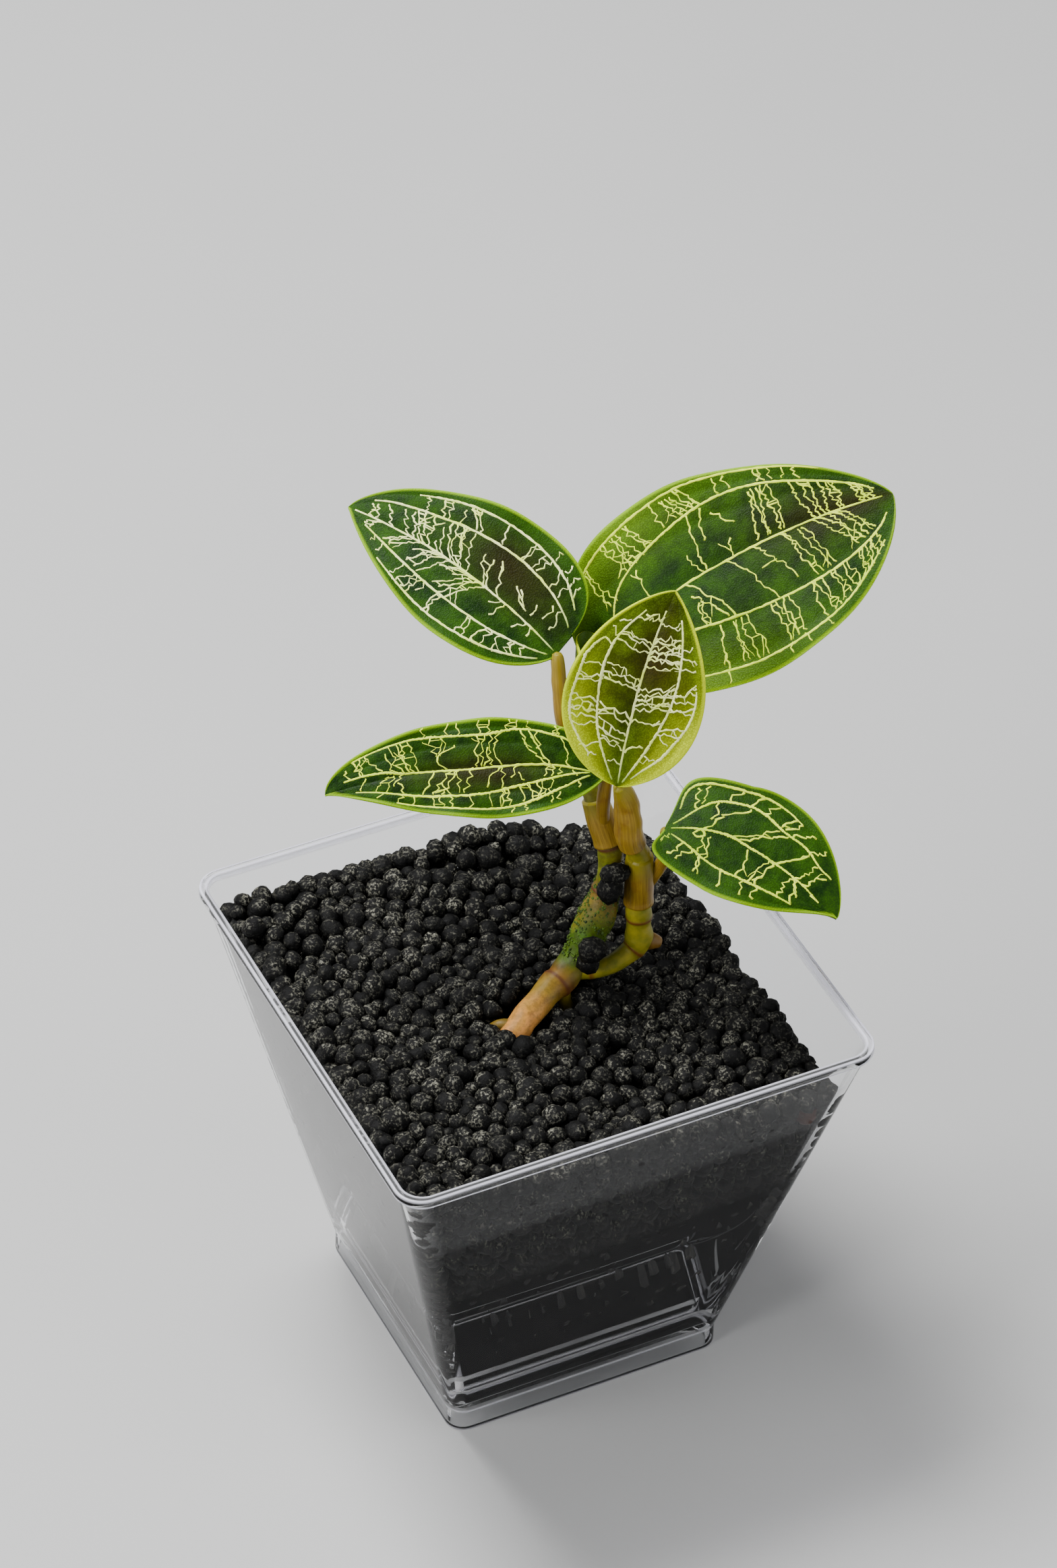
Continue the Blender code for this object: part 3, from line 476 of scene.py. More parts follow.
class Nodes:
    """A material's node tree, with one short call for each kind of node used here."""

    def __init__(self, name):
        self.material = bpy.data.materials.new(name)
        self.material.use_nodes = True
        self.tree = self.material.node_tree
        self.shader = self.tree.nodes["Principled BSDF"]

    def put(self, kind, inputs=None, **settings):
        node = self.tree.nodes.new("ShaderNode" + kind)
        for label, value in settings.items():
            setattr(node, label, value)
        for label, value in (inputs or {}).items():
            self.feed(node.inputs[label], value)
        return node

    def feed(self, socket, value):
        """Link a socket to another, or set its value. A colour of three numbers is made opaque."""
        if isinstance(value, bpy.types.NodeSocket):
            self.tree.links.new(value, socket)
        elif isinstance(value, tuple):
            socket.default_value = (value + (1.0,))[:len(socket.default_value)]
        else:
            socket.default_value = value

    def coordinates(self, kind="Object"):
        return self.put("TexCoord").outputs[kind]

    def number(self, label):
        return self.put("Attribute", attribute_name=label).outputs["Fac"]

    def noise(self, scale, detail=3.0, roughness=0.5, vector=None):
        node = self.put("TexNoise", {"Scale": scale, "Detail": detail, "Roughness": roughness,
                                     "Vector": vector or self.coordinates()})
        return node.outputs["Fac"]

    def cells(self, scale, feature="F1"):
        node = self.put("TexVoronoi", {"Scale": scale, "Vector": self.coordinates()}, feature=feature)
        return node.outputs["Distance"]

    def ramp(self, value, stops):
        node = self.put("ValToRGB", {"Fac": value})
        elements = node.color_ramp.elements
        while len(elements) < len(stops):
            elements.new(0.5)
        for element, (place, colour) in zip(elements, stops):
            element.position = place
            element.color = colour + (1.0,)
        return node.outputs["Color"]

    def patches(self, value, low, high):
        """Black where the value is below low, white where it is above high."""
        return self.ramp(value, [(low, (0, 0, 0)), (high, (1, 1, 1))])

    def span(self, value, low, high, to_low=0.0, to_high=1.0):
        node = self.put("MapRange", {"Value": value, "From Min": low, "From Max": high,
                                     "To Min": to_low, "To Max": to_high})
        return node.outputs["Result"]

    def mix(self, share, first, second, blend="MIX"):
        node = self.put("Mix", data_type="RGBA", blend_type=blend)
        self.feed(node.inputs[0], share)
        self.feed(node.inputs[6], first)
        self.feed(node.inputs[7], second)
        return node.outputs[2]

    def times(self, first, second):
        node = self.put("Math", operation="MULTIPLY")
        self.feed(node.inputs[0], first)
        self.feed(node.inputs[1], second)
        return node.outputs[0]

    def bump(self, height, distance, strength=1.0, under=None):
        node = self.put("Bump", {"Height": height, "Distance": distance, "Strength": strength})
        if under:
            self.tree.links.new(under, node.inputs["Normal"])
        return node.outputs["Normal"]

    def finish(self, **inputs):
        """The material, with the shader's sockets fed by their names in small letters."""
        for label, value in inputs.items():
            title = label.replace("_", " ").title().replace("Ior", "IOR")
            self.feed(self.shader.inputs[title], value)
        return self.material


def clear_plastic():
    """Clear moulded polystyrene. Its moulded edges carry a painted highlight: faint white and lilac,
    less clear and a little rough.
    """
    look = Nodes("clear_plastic")
    # Painted highlight on the moulded edges: whiter, lilac, less clear and rougher where the edge
    # number is high.
    haze = look.number("haze")
    colour = look.mix(haze, (0.985, 0.99, 1.0), (0.80, 0.79, 0.90))
    return look.finish(base_color=colour, transmission_weight=look.span(haze, 0.0, 1.0, 1.0, 0.35),
                       roughness=look.span(haze, 0.0, 1.0, 0.0, 0.22), ior=1.22)


def baked_soil():
    """Black baked granules: pitted and dull, with clusters of grey specks where they face up, partly
    dust and partly a painted highlight.

    The points carry tone, one number a granule, which sets how many grey specks it has. A few are
    brick red.
    """
    look = Nodes("baked_soil")
    tone = look.number("tone")
    pits = look.noise(1500, 6.0, 0.7)
    black = look.ramp(pits, [(0.40, (0.0006, 0.0006, 0.0006)), (0.58, (0.0022, 0.0022, 0.0020)),
                             (0.70, (0.010, 0.010, 0.009))])
    specks = look.patches(look.noise(2400, 4.0, 0.65), 0.50, 0.60)
    clusters = look.patches(look.noise(480, 3.0, 0.6), 0.42, 0.58)
    # Painted highlight: the grey specks gather on faces that look up towards the lights and thin out
    # on the sides; their grey is partly dust as well.
    up = look.put("SeparateXYZ", {"Vector": look.put("NewGeometry").outputs["Normal"]}).outputs["Z"]
    highlight_and_dust_share = look.times(look.span(up, -0.45, 0.8), look.span(tone, 0.0, 1.0, 0.25, 1.0))
    dust_and_highlight_specks = look.times(look.times(specks, clusters), highlight_and_dust_share)
    dusted_and_highlighted = look.mix(dust_and_highlight_specks, black, (0.20, 0.195, 0.155))
    red = look.span(tone, 0.997, 0.998, 0.0, 0.75)
    tinted = look.mix(red, dusted_and_highlighted, (0.060, 0.013, 0.006))
    coarse = look.bump(look.noise(520, 3.0, 0.6), 0.0004, 1.0)
    crackle = look.bump(look.cells(1500, "DISTANCE_TO_EDGE"), 0.0001, 0.6, coarse)
    fine = look.bump(look.noise(3200, 3.0, 0.7), 0.0001, 0.9, crackle)
    return look.finish(base_color=tinted, roughness=look.span(pits, 0.3, 0.7, 0.55, 0.85),
                       specular_ior_level=0.16, normal=fine)


def leaf_skin(name, deep, mid, rim, warm, warm_share):
    """Velvety leaf skin: mottled deep green, brown where it is warm, and paler or lime at the rim.

    The points carry rim (1 at the margin), side (1 in the green border), heart (1 over the warm
    patch), glow (1 where it is lime near the stalk) and under (1 on the back, which is paler). Tiny
    raised cells catch the light, and their colour is painted sparkle and shade: brighter in each
    cell's middle and darker at its edge.
    """
    look = Nodes(name)
    mottle = look.noise(300, 4.0, 0.6)
    cells = look.cells(4200)
    body = look.mix(look.span(mottle, 0.35, 0.65), deep, mid)
    body = look.mix(look.times(look.number("heart"), warm_share), body, warm)
    body = look.mix(look.times(look.number("side"), 0.8), body, mid)
    body = look.mix(look.number("glow"), body, rim)
    # Painted sparkle and shade of the tiny raised cells: colour times 1.35 in each cell's middle, down
    # to 0.65 at its edge.
    grain = look.span(cells, 0.0, 0.6, 1.35, 0.65)
    grey = look.put("CombineColor", {"Red": grain, "Green": grain, "Blue": grain}).outputs["Color"]
    sparkled_and_shaded = look.mix(0.8, body, grey, "MULTIPLY")
    edged = look.mix(look.span(look.number("rim"), 0.45, 0.85), sparkled_and_shaded, rim)
    under = look.mix(look.span(look.number("under"), 0.4, 0.6), edged, (0.06, 0.12, 0.012))
    velvet = look.bump(cells, 0.00006, 0.8)
    quilt = look.bump(look.noise(700, 2.0), 0.0002, 0.35, velvet)
    return look.finish(base_color=under, roughness=look.span(mottle, 0.3, 0.7, 0.46, 0.6),
                       specular_ior_level=0.10, normal=quilt)


def vein_skin(name, pale, warm, stalk_end):
    """Raised pale veins, a little yellower here and there, and green where they leave the stalk."""
    look = Nodes(name)
    colour = look.mix(look.span(look.noise(420, 3.0), 0.4, 0.7), pale, warm)
    greened = look.mix(look.span(look.number("along"), 0.14, 0.02, 0.0, 0.85), colour, stalk_end)
    return look.finish(base_color=greened, roughness=0.5, specular_ior_level=0.2,
                       normal=look.bump(look.noise(3000, 2.0), 0.00003, 0.5))


def stem_skin():
    """Creeping stem: peach where it leaves the granules, then olive, mossy green and brown rings."""
    look = Nodes("stem_skin")
    along = look.number("along")
    zone = look.ramp(along, [
        (0.00, (0.30, 0.10, 0.02)), (0.14, (0.62, 0.24, 0.05)), (0.24, (0.66, 0.30, 0.06)),
        (0.31, (0.28, 0.17, 0.012)), (0.37, (0.16, 0.06, 0.01)), (0.42, (0.07, 0.12, 0.006)),
        (0.52, (0.06, 0.14, 0.005)), (0.60, (0.12, 0.11, 0.01)), (0.645, (0.10, 0.03, 0.006)),
        (0.68, (0.15, 0.18, 0.006)), (0.80, (0.20, 0.21, 0.008)), (1.00, (0.19, 0.18, 0.01))])
    speck = look.patches(look.noise(900, 5.0, 0.7), 0.42, 0.60)
    dark = look.mix(look.times(speck, 0.45), zone, (0.03, 0.012, 0.003))
    blush = look.patches(look.noise(210, 3.0), 0.52, 0.68)
    warm = look.mix(look.times(blush, 0.35), dark, (0.36, 0.24, 0.02))
    rings = look.mix(look.number("ring"), warm, (0.09, 0.025, 0.006))
    rough = look.bump(look.noise(1300, 4.0, 0.6), 0.00012, 0.7)
    return look.finish(base_color=rings, roughness=0.5, specular_ior_level=0.3,
                       subsurface_weight=0.1, subsurface_radius=(0.8, 0.5, 0.2),
                       subsurface_scale=0.001, normal=rough)


def shoot_skin():
    """Side shoot and roots: yellow-olive, with brown at its rings."""
    look = Nodes("shoot_skin")
    streak = look.noise(500, 4.0, 0.6)
    body = look.mix(look.span(streak, 0.35, 0.7), (0.17, 0.17, 0.006), (0.34, 0.28, 0.015))
    brown = look.mix(look.number("ring"), body, (0.13, 0.035, 0.006))
    return look.finish(base_color=brown, roughness=0.45, specular_ior_level=0.3,
                       subsurface_weight=0.1, subsurface_radius=(0.8, 0.6, 0.2),
                       subsurface_scale=0.001,
                       normal=look.bump(look.noise(1500, 4.0), 0.0001, 0.6))


def sheath_skin():
    """Papery golden sheaths: fine stripes along them, dark blotches here and there, greener near the
    leaf.
    """
    look = Nodes("sheath_skin")
    stripes = look.put("Mapping", {"Vector": look.coordinates("UV"), "Scale": (46.0, 1.2, 1.0)})
    grain = look.noise(1.0, 4.0, 0.6, stripes.outputs["Vector"])
    gold = look.mix(look.span(grain, 0.3, 0.7), (0.17, 0.09, 0.003), (0.38, 0.24, 0.014))
    blotch = look.patches(look.noise(380, 4.0, 0.65), 0.5, 0.7)
    worn = look.mix(look.times(blotch, 0.5), gold, (0.14, 0.04, 0.005))
    green = look.mix(look.span(look.number("along"), 0.55, 1.0), worn, (0.24, 0.20, 0.006))
    return look.finish(base_color=green, roughness=0.4, specular_ior_level=0.3,
                       subsurface_weight=0.15, subsurface_radius=(0.9, 0.6, 0.2),
                       subsurface_scale=0.001,
                       normal=look.bump(grain, 0.00008, 0.8))


def moss_skin():
    """Bright and dark green crust of moss."""
    look = Nodes("moss_skin")
    colour = look.ramp(look.noise(800, 3.0), [(0.35, (0.012, 0.03, 0.001)),
                                              (0.65, (0.09, 0.17, 0.004))])
    return look.finish(base_color=colour, roughness=0.85,
                       normal=look.bump(look.noise(4000, 2.0), 0.00006, 0.8))


def studio_paper():
    """Pale matt floor with a trace of tooth."""
    look = Nodes("studio_paper")
    tone = look.mix(look.noise(14, 3.0), (0.46, 0.46, 0.455), (0.49, 0.49, 0.485))
    return look.finish(base_color=tone, roughness=0.6,
                       normal=look.bump(look.noise(900, 2.0), 0.00005, 0.4))


# Cup

def wall_half(z):
    """Half the cup's outer width at height z: a straight taper from the foot to the rim's bead."""
    spread_out = RIM_HALF - BEAD_PROUD - FOOT_HALF
    return FOOT_HALF + spread_out * (z - FOOT_HEIGHT) / (CUP_HEIGHT - FOOT_HEIGHT)


def square_ring(half, corner):
    """A square with round corners: quarter circles joined by straight sides."""
    quarter = np.arange(4)[:, None]
    angle = np.pi / 2 * (quarter + np.linspace(0, 1, CORNER_STEPS + 1)[None])
    middle = np.pi / 2 * quarter + np.pi / 4
    x = (half - corner) * np.sign(np.cos(middle)) + corner * np.cos(angle)
    y = (half - corner) * np.sign(np.sin(middle)) + corner * np.sin(angle)
    return np.stack([x.ravel(), y.ravel()], -1)


def square_loft(profile):
    """A square with round corners at each profile point, joined, with both ends closed flat."""
    rings = [np.column_stack([square_ring(half, corner), np.full(4 * (CORNER_STEPS + 1), z)])
             for half, corner, z in profile]
    count = len(rings[0])
    points = np.vstack(rings + [[[0, 0, profile[0][2]]], [[0, 0, profile[-1][2]]]])
    last = len(profile) * count
    faces = [grid_faces(len(profile), count, around=True),
             cap_faces(np.arange(count), last, True),
             cap_faces(np.arange(last - count, last), last + 1, False)]
    return points, faces


def build_cup():
    """The cup's section: inner floor and wall, round bead, outer wall, foot skirt and hollow base.

    Each place on the section has its half width, its corner's radius, its height and its painted edge
    highlight.
    """
    inner_low = wall_half(INNER_FLOOR) - WALL
    bead_low = CUP_HEIGHT - BEAD_HEIGHT
    below_bead = bead_low - 0.3
    above_foot = FOOT_HEIGHT + 0.6
    section = [
        (inner_low - 1.2, FOOT_CORNER - 1.5, INNER_FLOOR, 0.0),
        (inner_low - 0.5, FOOT_CORNER - 1.3, INNER_FLOOR + 0.12, 0.1),
        (inner_low, FOOT_CORNER - 1.0, INNER_FLOOR + 0.6, 0.0),
        (wall_half(below_bead) - WALL, RIM_CORNER - WALL, below_bead, 0.0),
        (wall_half(bead_low) - WALL, RIM_CORNER - WALL, bead_low, 0.0),
        (RIM_HALF - WALL - 0.3, RIM_CORNER - WALL, CUP_HEIGHT - 0.4, 0.0),
        (RIM_HALF - WALL - 0.2, RIM_CORNER - WALL + 0.05, CUP_HEIGHT - 0.12, 0.6),
        (RIM_HALF - WALL + 0.05, RIM_CORNER - WALL + 0.3, CUP_HEIGHT, 1.0),
        (RIM_HALF - WALL + 0.3, RIM_CORNER - 0.6, CUP_HEIGHT, 0.1),
        (RIM_HALF - 0.5, RIM_CORNER - 0.5, CUP_HEIGHT, 0.1),
        (RIM_HALF - 0.3, RIM_CORNER - 0.35, CUP_HEIGHT, 1.0),
        (RIM_HALF - 0.1, RIM_CORNER - 0.1, CUP_HEIGHT - 0.1, 0.9),
        (RIM_HALF, RIM_CORNER, CUP_HEIGHT - 0.4, 0.0),
        (RIM_HALF, RIM_CORNER, bead_low + 0.4, 0.0),
        (RIM_HALF - 0.12, RIM_CORNER - 0.1, bead_low + 0.12, 0.8),
        (wall_half(bead_low), RIM_CORNER - BEAD_PROUD, bead_low, 0.5),
        (wall_half(below_bead), RIM_CORNER - BEAD_PROUD, below_bead, 0.0),
        (wall_half(above_foot), FOOT_CORNER, above_foot, 0.0),
        (FOOT_HALF + 0.05, FOOT_CORNER, FOOT_HEIGHT + 0.2, 0.6),
        (FOOT_HALF - 0.1, FOOT_CORNER, FOOT_HEIGHT - 0.1, 0.6),
        (FOOT_HALF - 0.09, FOOT_CORNER, FOOT_HEIGHT - 0.5, 0.0),
        (FOOT_HALF - 0.05, FOOT_CORNER, 0.6, 0.0),
        (FOOT_HALF - 0.13, FOOT_CORNER - 0.1, 0.08, 0.7),
        (FOOT_HALF - 0.3, FOOT_CORNER - 0.2, 0.0, 0.5),
        (FOOT_HALF - SKIRT + 0.15, FOOT_CORNER - SKIRT + 0.2, 0.0, 0.3),
        (FOOT_HALF - SKIRT, FOOT_CORNER - SKIRT + 0.1, 0.12, 0.0),
        (FOOT_HALF - SKIRT - 0.1, FOOT_CORNER - SKIRT, FOOT_HEIGHT - 0.4, 0.0),
        (FOOT_HALF - SKIRT - 0.5, FOOT_CORNER - SKIRT - 0.3, FOOT_HEIGHT, 0.0),
    ]
    points, faces = square_loft([place[:3] for place in section])
    # Painted highlight lines along the bead, the rim's edges, the foot and the skirt.
    haze = each_ring(np.array([place[3] for place in section]), 4 * (CORNER_STEPS + 1))
    piece = new_piece("cup_shell", points, faces, "cup", clear_plastic(),
                      values={"haze": haze})
    piece.data.set_sharp_from_angle(angle=np.radians(38))


# Granules

def fill_height(x, y):
    """How high the granules lie.

    They slope down to the right and to the back right corner, are heaped at the back left and in a
    bell against the back wall, and are uneven by slow crossing waves.
    """
    low = FILL_LOW_CORNER * np.clip((x + y) / (2 * RIM_HALF), 0, 1) ** 2
    mound = (0.6 * np.sin(0.16 * x + 1.0) * np.cos(0.19 * y + 0.4)
             + 0.45 * np.sin(0.31 * y - 0.2 * x))
    heap = (FILL_HEAP * np.clip((y - x) / (2 * RIM_HALF), 0, 1)
            + FILL_BACK * np.clip(y / RIM_HALF, 0, 1) ** 1.3
            * np.exp(-((x - FILL_BACK_MIDDLE) / FILL_BACK_WIDTH) ** 2))
    return FILL_HEIGHT - FILL_SLOPE * x - low + mound + heap - FILL_SETTLE


def spread(points, radius, limit, steps=70):
    """Move discs on a plane apart until they hardly overlap, keeping them inside their limits.

    In each step, two discs nearer than nine tenths of their radii's sum are each pushed away by 0.35
    of what is missing.
    """
    for _ in range(steps):
        gap = points[:, None] - points[None]
        far = np.hypot(gap[..., 0], gap[..., 1]) + np.eye(len(points)) * 1e3
        push = np.clip(0.9 * (radius[:, None] + radius[None]) - far, 0, None) / far * 0.35
        points = limit(points + (gap * push[..., None]).sum(1))
    return points


def spread_in_square(rng, radius, reach):
    """Discs spread inside a square of half width reach."""
    room = (reach - radius)[:, None]
    start = rng.uniform(-1, 1, (len(radius), 2)) * reach * 0.95
    return spread(start, radius, lambda points: np.clip(points, -room, room))


def grain_shape(around=8, down=6):
    """A coarse ball: rings of points at even angles from one pole to the other, and its faces."""
    fall = np.pi * np.arange(1, down) / down
    turn = 2 * np.pi * (np.arange(around)[None] + 0.5 * (np.arange(1, down)[:, None] % 2)) / around
    rings = np.stack([np.sin(fall)[:, None] * np.cos(turn), np.sin(fall)[:, None] * np.sin(turn),
                      np.cos(fall)[:, None] + 0 * turn], -1).reshape(-1, 3)
    points = np.vstack([rings, [[0, 0, 1.0], [0, 0, -1.0]]])
    count = len(rings)
    faces = [grid_faces(down - 1, around, around=True), cap_faces(np.arange(around), count, True),
             cap_faces(np.arange(count - around, count), count + 1, False)]
    return points, faces


def repeated(faces, count, size):
    """The faces of count copies of a shape of size points, one after another."""
    return [(group[None] + np.arange(count)[:, None, None] * size).reshape(-1, group.shape[1])
            for group in faces]


def grains(name, centres, radius, rng, material):
    """One worn ball a centre: stretched, turned, and dented by slow waves over its surface."""
    ball, faces = grain_shape()
    count = len(centres)
    turn, _ = np.linalg.qr(rng.normal(size=(count, 3, 3)))
    stretch = rng.uniform(0.86, 1.12, (count, 1, 3))
    waves = rng.normal(size=(count, 3, 3)) * 2.2
    phase = rng.uniform(0, 6.28, (count, 3))
    dent = 1 + 0.06 * np.sin(np.einsum("pk,cwk->cpw", ball, waves) + phase[:, None]).sum(-1)
    shape = (ball[None] * dent[..., None]) * stretch
    shape = np.einsum("cpk,ckj->cpj", shape, turn) * radius[:, None, None]
    points = (shape + centres[:, None]).reshape(-1, 3)
    indexes = repeated(faces, count, len(ball))
    tone = np.repeat(rng.uniform(0, 1, count), len(ball))
    new_piece(name, points, indexes, "granules", material, values={"tone": tone})


def clear_of_stem(centres, radius):
    """Which grains leave room for the stem: none sinks into it by more than 0.28 of its radius."""
    paths = [smooth_path(points, 8) for points in (MAIN_STEM[1:8], SIDE_SHOOT[:5], ROOTS[2])]
    free = np.ones(len(centres), dtype=bool)
    for path in paths:
        gap = np.linalg.norm(centres[:, None] - path[None, :, :3], axis=-1) - path[None, :, 3]
        free &= (gap > 0.72 * radius[:, None]).all(1)
    return free


def build_granules(material):
    """Two layers on top, one against each wall and one on the floor, round a plain dark core."""
    rng = np.random.default_rng(GRAIN_SEED)
    build_top_grains(rng, material)
    build_wall_grains(rng, material)
    radius = rng.uniform(GRAIN_SMALL, GRAIN_LARGE, FLOOR_GRAINS)
    flat = spread_in_square(rng, radius, wall_half(INNER_FLOOR) - WALL)
    centres = np.column_stack([flat, INNER_FLOOR + radius + 0.05])
    grains("granules_floor", centres, radius, rng, material)

    section = [(wall_half(9) - 5.0, 2.0, 9.0), (wall_half(30) - 4.0, 2.5, 30.0),
               (wall_half(56) - 3.8, 3.0, 56.0), (wall_half(56) - 6.0, 3.0, 57.0)]
    points, faces = square_loft(section)
    new_piece("granules_core", points, faces, "granules", material,
              values={"tone": np.full(len(points), CORE_TONE)})


def build_top_grains(rng, material):
    """The surface's layer, the one just under it, and the few granules that rest on the stem."""
    tops, sizes = [], []
    for count, sink, swell in ((TOP_GRAINS, 0.0, 0.55), (UNDER_GRAINS, UNDER_SINK, 0.15)):
        radius = rng.uniform(GRAIN_SMALL, GRAIN_LARGE, count)
        flat = spread_in_square(rng, radius, wall_half(FILL_HEIGHT) - WALL - 0.2)
        height = fill_height(flat[:, 0], flat[:, 1]) - sink + rng.uniform(-swell, swell, count)
        room = wall_half(height) - WALL - 0.15 - radius
        flat = np.clip(flat, -room[:, None], room[:, None])
        tops.append(np.column_stack([flat, height]))
        sizes.append(radius)
    centres, radius = np.vstack(tops), np.concatenate(sizes)
    free = clear_of_stem(centres, radius)
    perched = np.array(PERCHED)
    grains("granules_top", np.vstack([centres[free], perched[:, :3]]),
           np.concatenate([radius[free], perched[:, 3]]), rng, material)


def build_wall_grains(rng, material):
    """One layer against each wall, spread on the wall's plane and turned to its side of the cup."""
    walls, sizes = [], []
    for side in range(4):
        radius = rng.uniform(GRAIN_SMALL, GRAIN_LARGE, WALL_GRAINS)

        def limit(points):
            z = np.clip(points[:, 1], INNER_FLOOR + radius, WALL_FILL_TOP)
            room = wall_half(z) - WALL - radius - 0.3
            return np.column_stack([np.clip(points[:, 0], -room, room), z])

        share = np.sqrt(rng.uniform(0.0, 1, WALL_GRAINS))
        start_z = INNER_FLOOR + (WALL_FILL_TOP - INNER_FLOOR) * share
        start_x = rng.uniform(-1, 1, WALL_GRAINS) * wall_half(start_z) * 0.93
        flat = spread(np.column_stack([start_x, start_z]), radius, limit)
        out = wall_half(flat[:, 1]) - WALL - radius - 0.12
        turn = side * np.pi / 2
        x = flat[:, 0] * np.cos(turn) + out * np.sin(turn)
        y = flat[:, 0] * np.sin(turn) - out * np.cos(turn)
        below = flat[:, 1] < fill_height(x, y) + 0.2
        walls.append(np.column_stack([x, y, flat[:, 1]])[below])
        sizes.append(radius[below])
    grains("granules_walls", np.vstack(walls), np.concatenate(sizes), rng, material)


# Stem and stalks

def stem_tube(points, marks, sides, seed, steps=14):
    """A tube with a low collar at each mark, and how far along and how near a collar each point is.

    A collar is a narrow bell round its mark.
    """
    path = smooth_path(points, steps)
    run = lengths_along(path[:, :3])
    bells = np.exp(-((run[:, None] - np.array(marks)[None] * run[-1]) / COLLAR_WIDTH) ** 2)
    near = bells.max(1, initial=0.0)
    radius = path[:, 3] * (1 + COLLAR_SWELL * near)
    made, faces, _ = tube(path[:, :3], radius, sides, STEM_RIPPLE, seed)
    return made, faces, {"along": each_ring(run / run[-1], sides), "ring": each_ring(near, sides)}


def build_stem():
    """Creeping stem with its upright top, the side shoot, the roots, and moss on the thick part."""
    points, faces, numbers = merge([stem_tube(MAIN_STEM, MAIN_MARKS, 36, 21)])
    new_piece("stem_main", points, faces, "stem", stem_skin(), values=numbers)
    parts = [stem_tube(SIDE_SHOOT, SHOOT_MARKS, 30, 22)]
    for number, (root, brown) in enumerate(zip(ROOTS, ROOT_BROWN)):
        points, faces, numbers = stem_tube(root, (), 18, 30 + number, 10)
        numbers["ring"] = numbers["ring"] + brown
        parts.append((points, faces, numbers))
    points, faces, numbers = merge(parts)
    new_piece("stem_side_shoot", points, faces, "stem", shoot_skin(), values=numbers)
    build_moss()


def build_moss():
    """Small lumps scattered over the thick, shaded part of the stem."""
    rng = np.random.default_rng(8)
    path = smooth_path(MAIN_STEM[5:10], 40)
    index = rng.integers(0, len(path), MOSS_LUMPS)
    _, side, rise = carried_frames(path[:, :3])
    angle = rng.uniform(0, 2 * np.pi, MOSS_LUMPS)
    out = np.cos(angle)[:, None] * side[index] + np.sin(angle)[:, None] * rise[index]
    centres = path[index, :3] + out * path[index, 3][:, None]
    ball, faces = grain_shape(5, 4)
    size = rng.uniform(MOSS_SMALL, MOSS_LARGE, MOSS_LUMPS)[:, None, None]
    points = ball[None] * size * rng.uniform(0.7, 1.3, (MOSS_LUMPS, 1, 3)) + centres[:, None]
    indexes = repeated(faces, MOSS_LUMPS, len(ball))
    new_piece("stem_moss", points.reshape(-1, 3), indexes, "stem", moss_skin())


def build_stalks():
    """Each stalk's free part, and its sheath. The thick ones have a rolled lip at the foot."""
    skin = sheath_skin()
    for number, (name, runs) in enumerate(STALKS.items()):
        parts = []
        for run in runs:
            path = smooth_path(run, 16)
            share = np.linspace(0, 1, len(path))
            lip = 0.08 * np.exp(-(share / 0.08) ** 2) if path[0, 3] > 1.5 else 0.0
            points, faces, turn = tube(path[:, :3], path[:, 3] * (1 + lip), STALK_SIDES,
                                       STALK_RIPPLE, 40 + number)
            parts.append((points, faces, {"along": each_ring(share, STALK_SIDES), "turn": turn}))
        points, faces, numbers = merge(parts)
        uv = np.column_stack([numbers["turn"], numbers["along"]])
        new_piece(name + "_skin", points, faces, name, skin, uv=uv,
                  values={"along": numbers["along"]})


# Leaves

def half_width(t, swell, taper):
    """A leaf side's half width as a share of its widest: t**swell * (1 - t)**taper over its peak."""
    peak = swell / (swell + taper)
    return t ** swell * (1 - t) ** taper / (peak ** swell * (1 - peak) ** taper)


def leaf_points(leaf, t, v):
    """Points of a leaf: t runs from stalk to tip, v from one margin to the other.

    The midrib is a line from base to tip that lifts and bends by 4 t (1 - t). The sides spread from
    it by their half widths, curl with v squared, wave towards the margin, sink at the midrib, and
    near the base reach back in lobes. The skin sinks a little along the main veins too, like a quilt.
    """
    base = np.array(leaf["base"])
    tip = np.array(leaf["tip"])
    side = unit(np.cross(leaf["facing"], tip - base))
    face = unit(np.cross(tip - base, side))
    arch = 4 * t * (1 - t)
    width = np.where(v < 0, leaf["half"][0] * half_width(t, leaf["swell"][0], leaf["taper"][0]),
                     leaf["half"][1] * half_width(t, leaf["swell"][1], leaf["taper"][1]))
    height, count, start = leaf["wave"]
    wave = height * np.abs(v) ** 3 * arch * np.sin(2 * np.pi * (count * t + start) + 1.5 * np.sign(v))
    groove = -MIDRIB_GROOVE * arch * np.exp(-(v / 0.10) ** 2)
    ribs = np.minimum(np.abs(np.abs(v) - RIB_INNER), np.abs(np.abs(v) - RIB_OUTER))
    quilt = -RIB_GROOVE * arch * np.exp(-(ribs / 0.06) ** 2)
    lobe = leaf["lobe"] * v ** 2 * np.sin(np.pi * np.clip(t / 0.3, 0, 1))
    along = base + (tip - base) * t[:, None]
    bend = leaf["lift"] * face + leaf["sway"] * side
    off_face = leaf["curl"] * v ** 2 * width + wave + groove + quilt
    return (along + arch[:, None] * bend + (width * v)[:, None] * side
            + off_face[:, None] * face - lobe[:, None] * unit(tip - base))


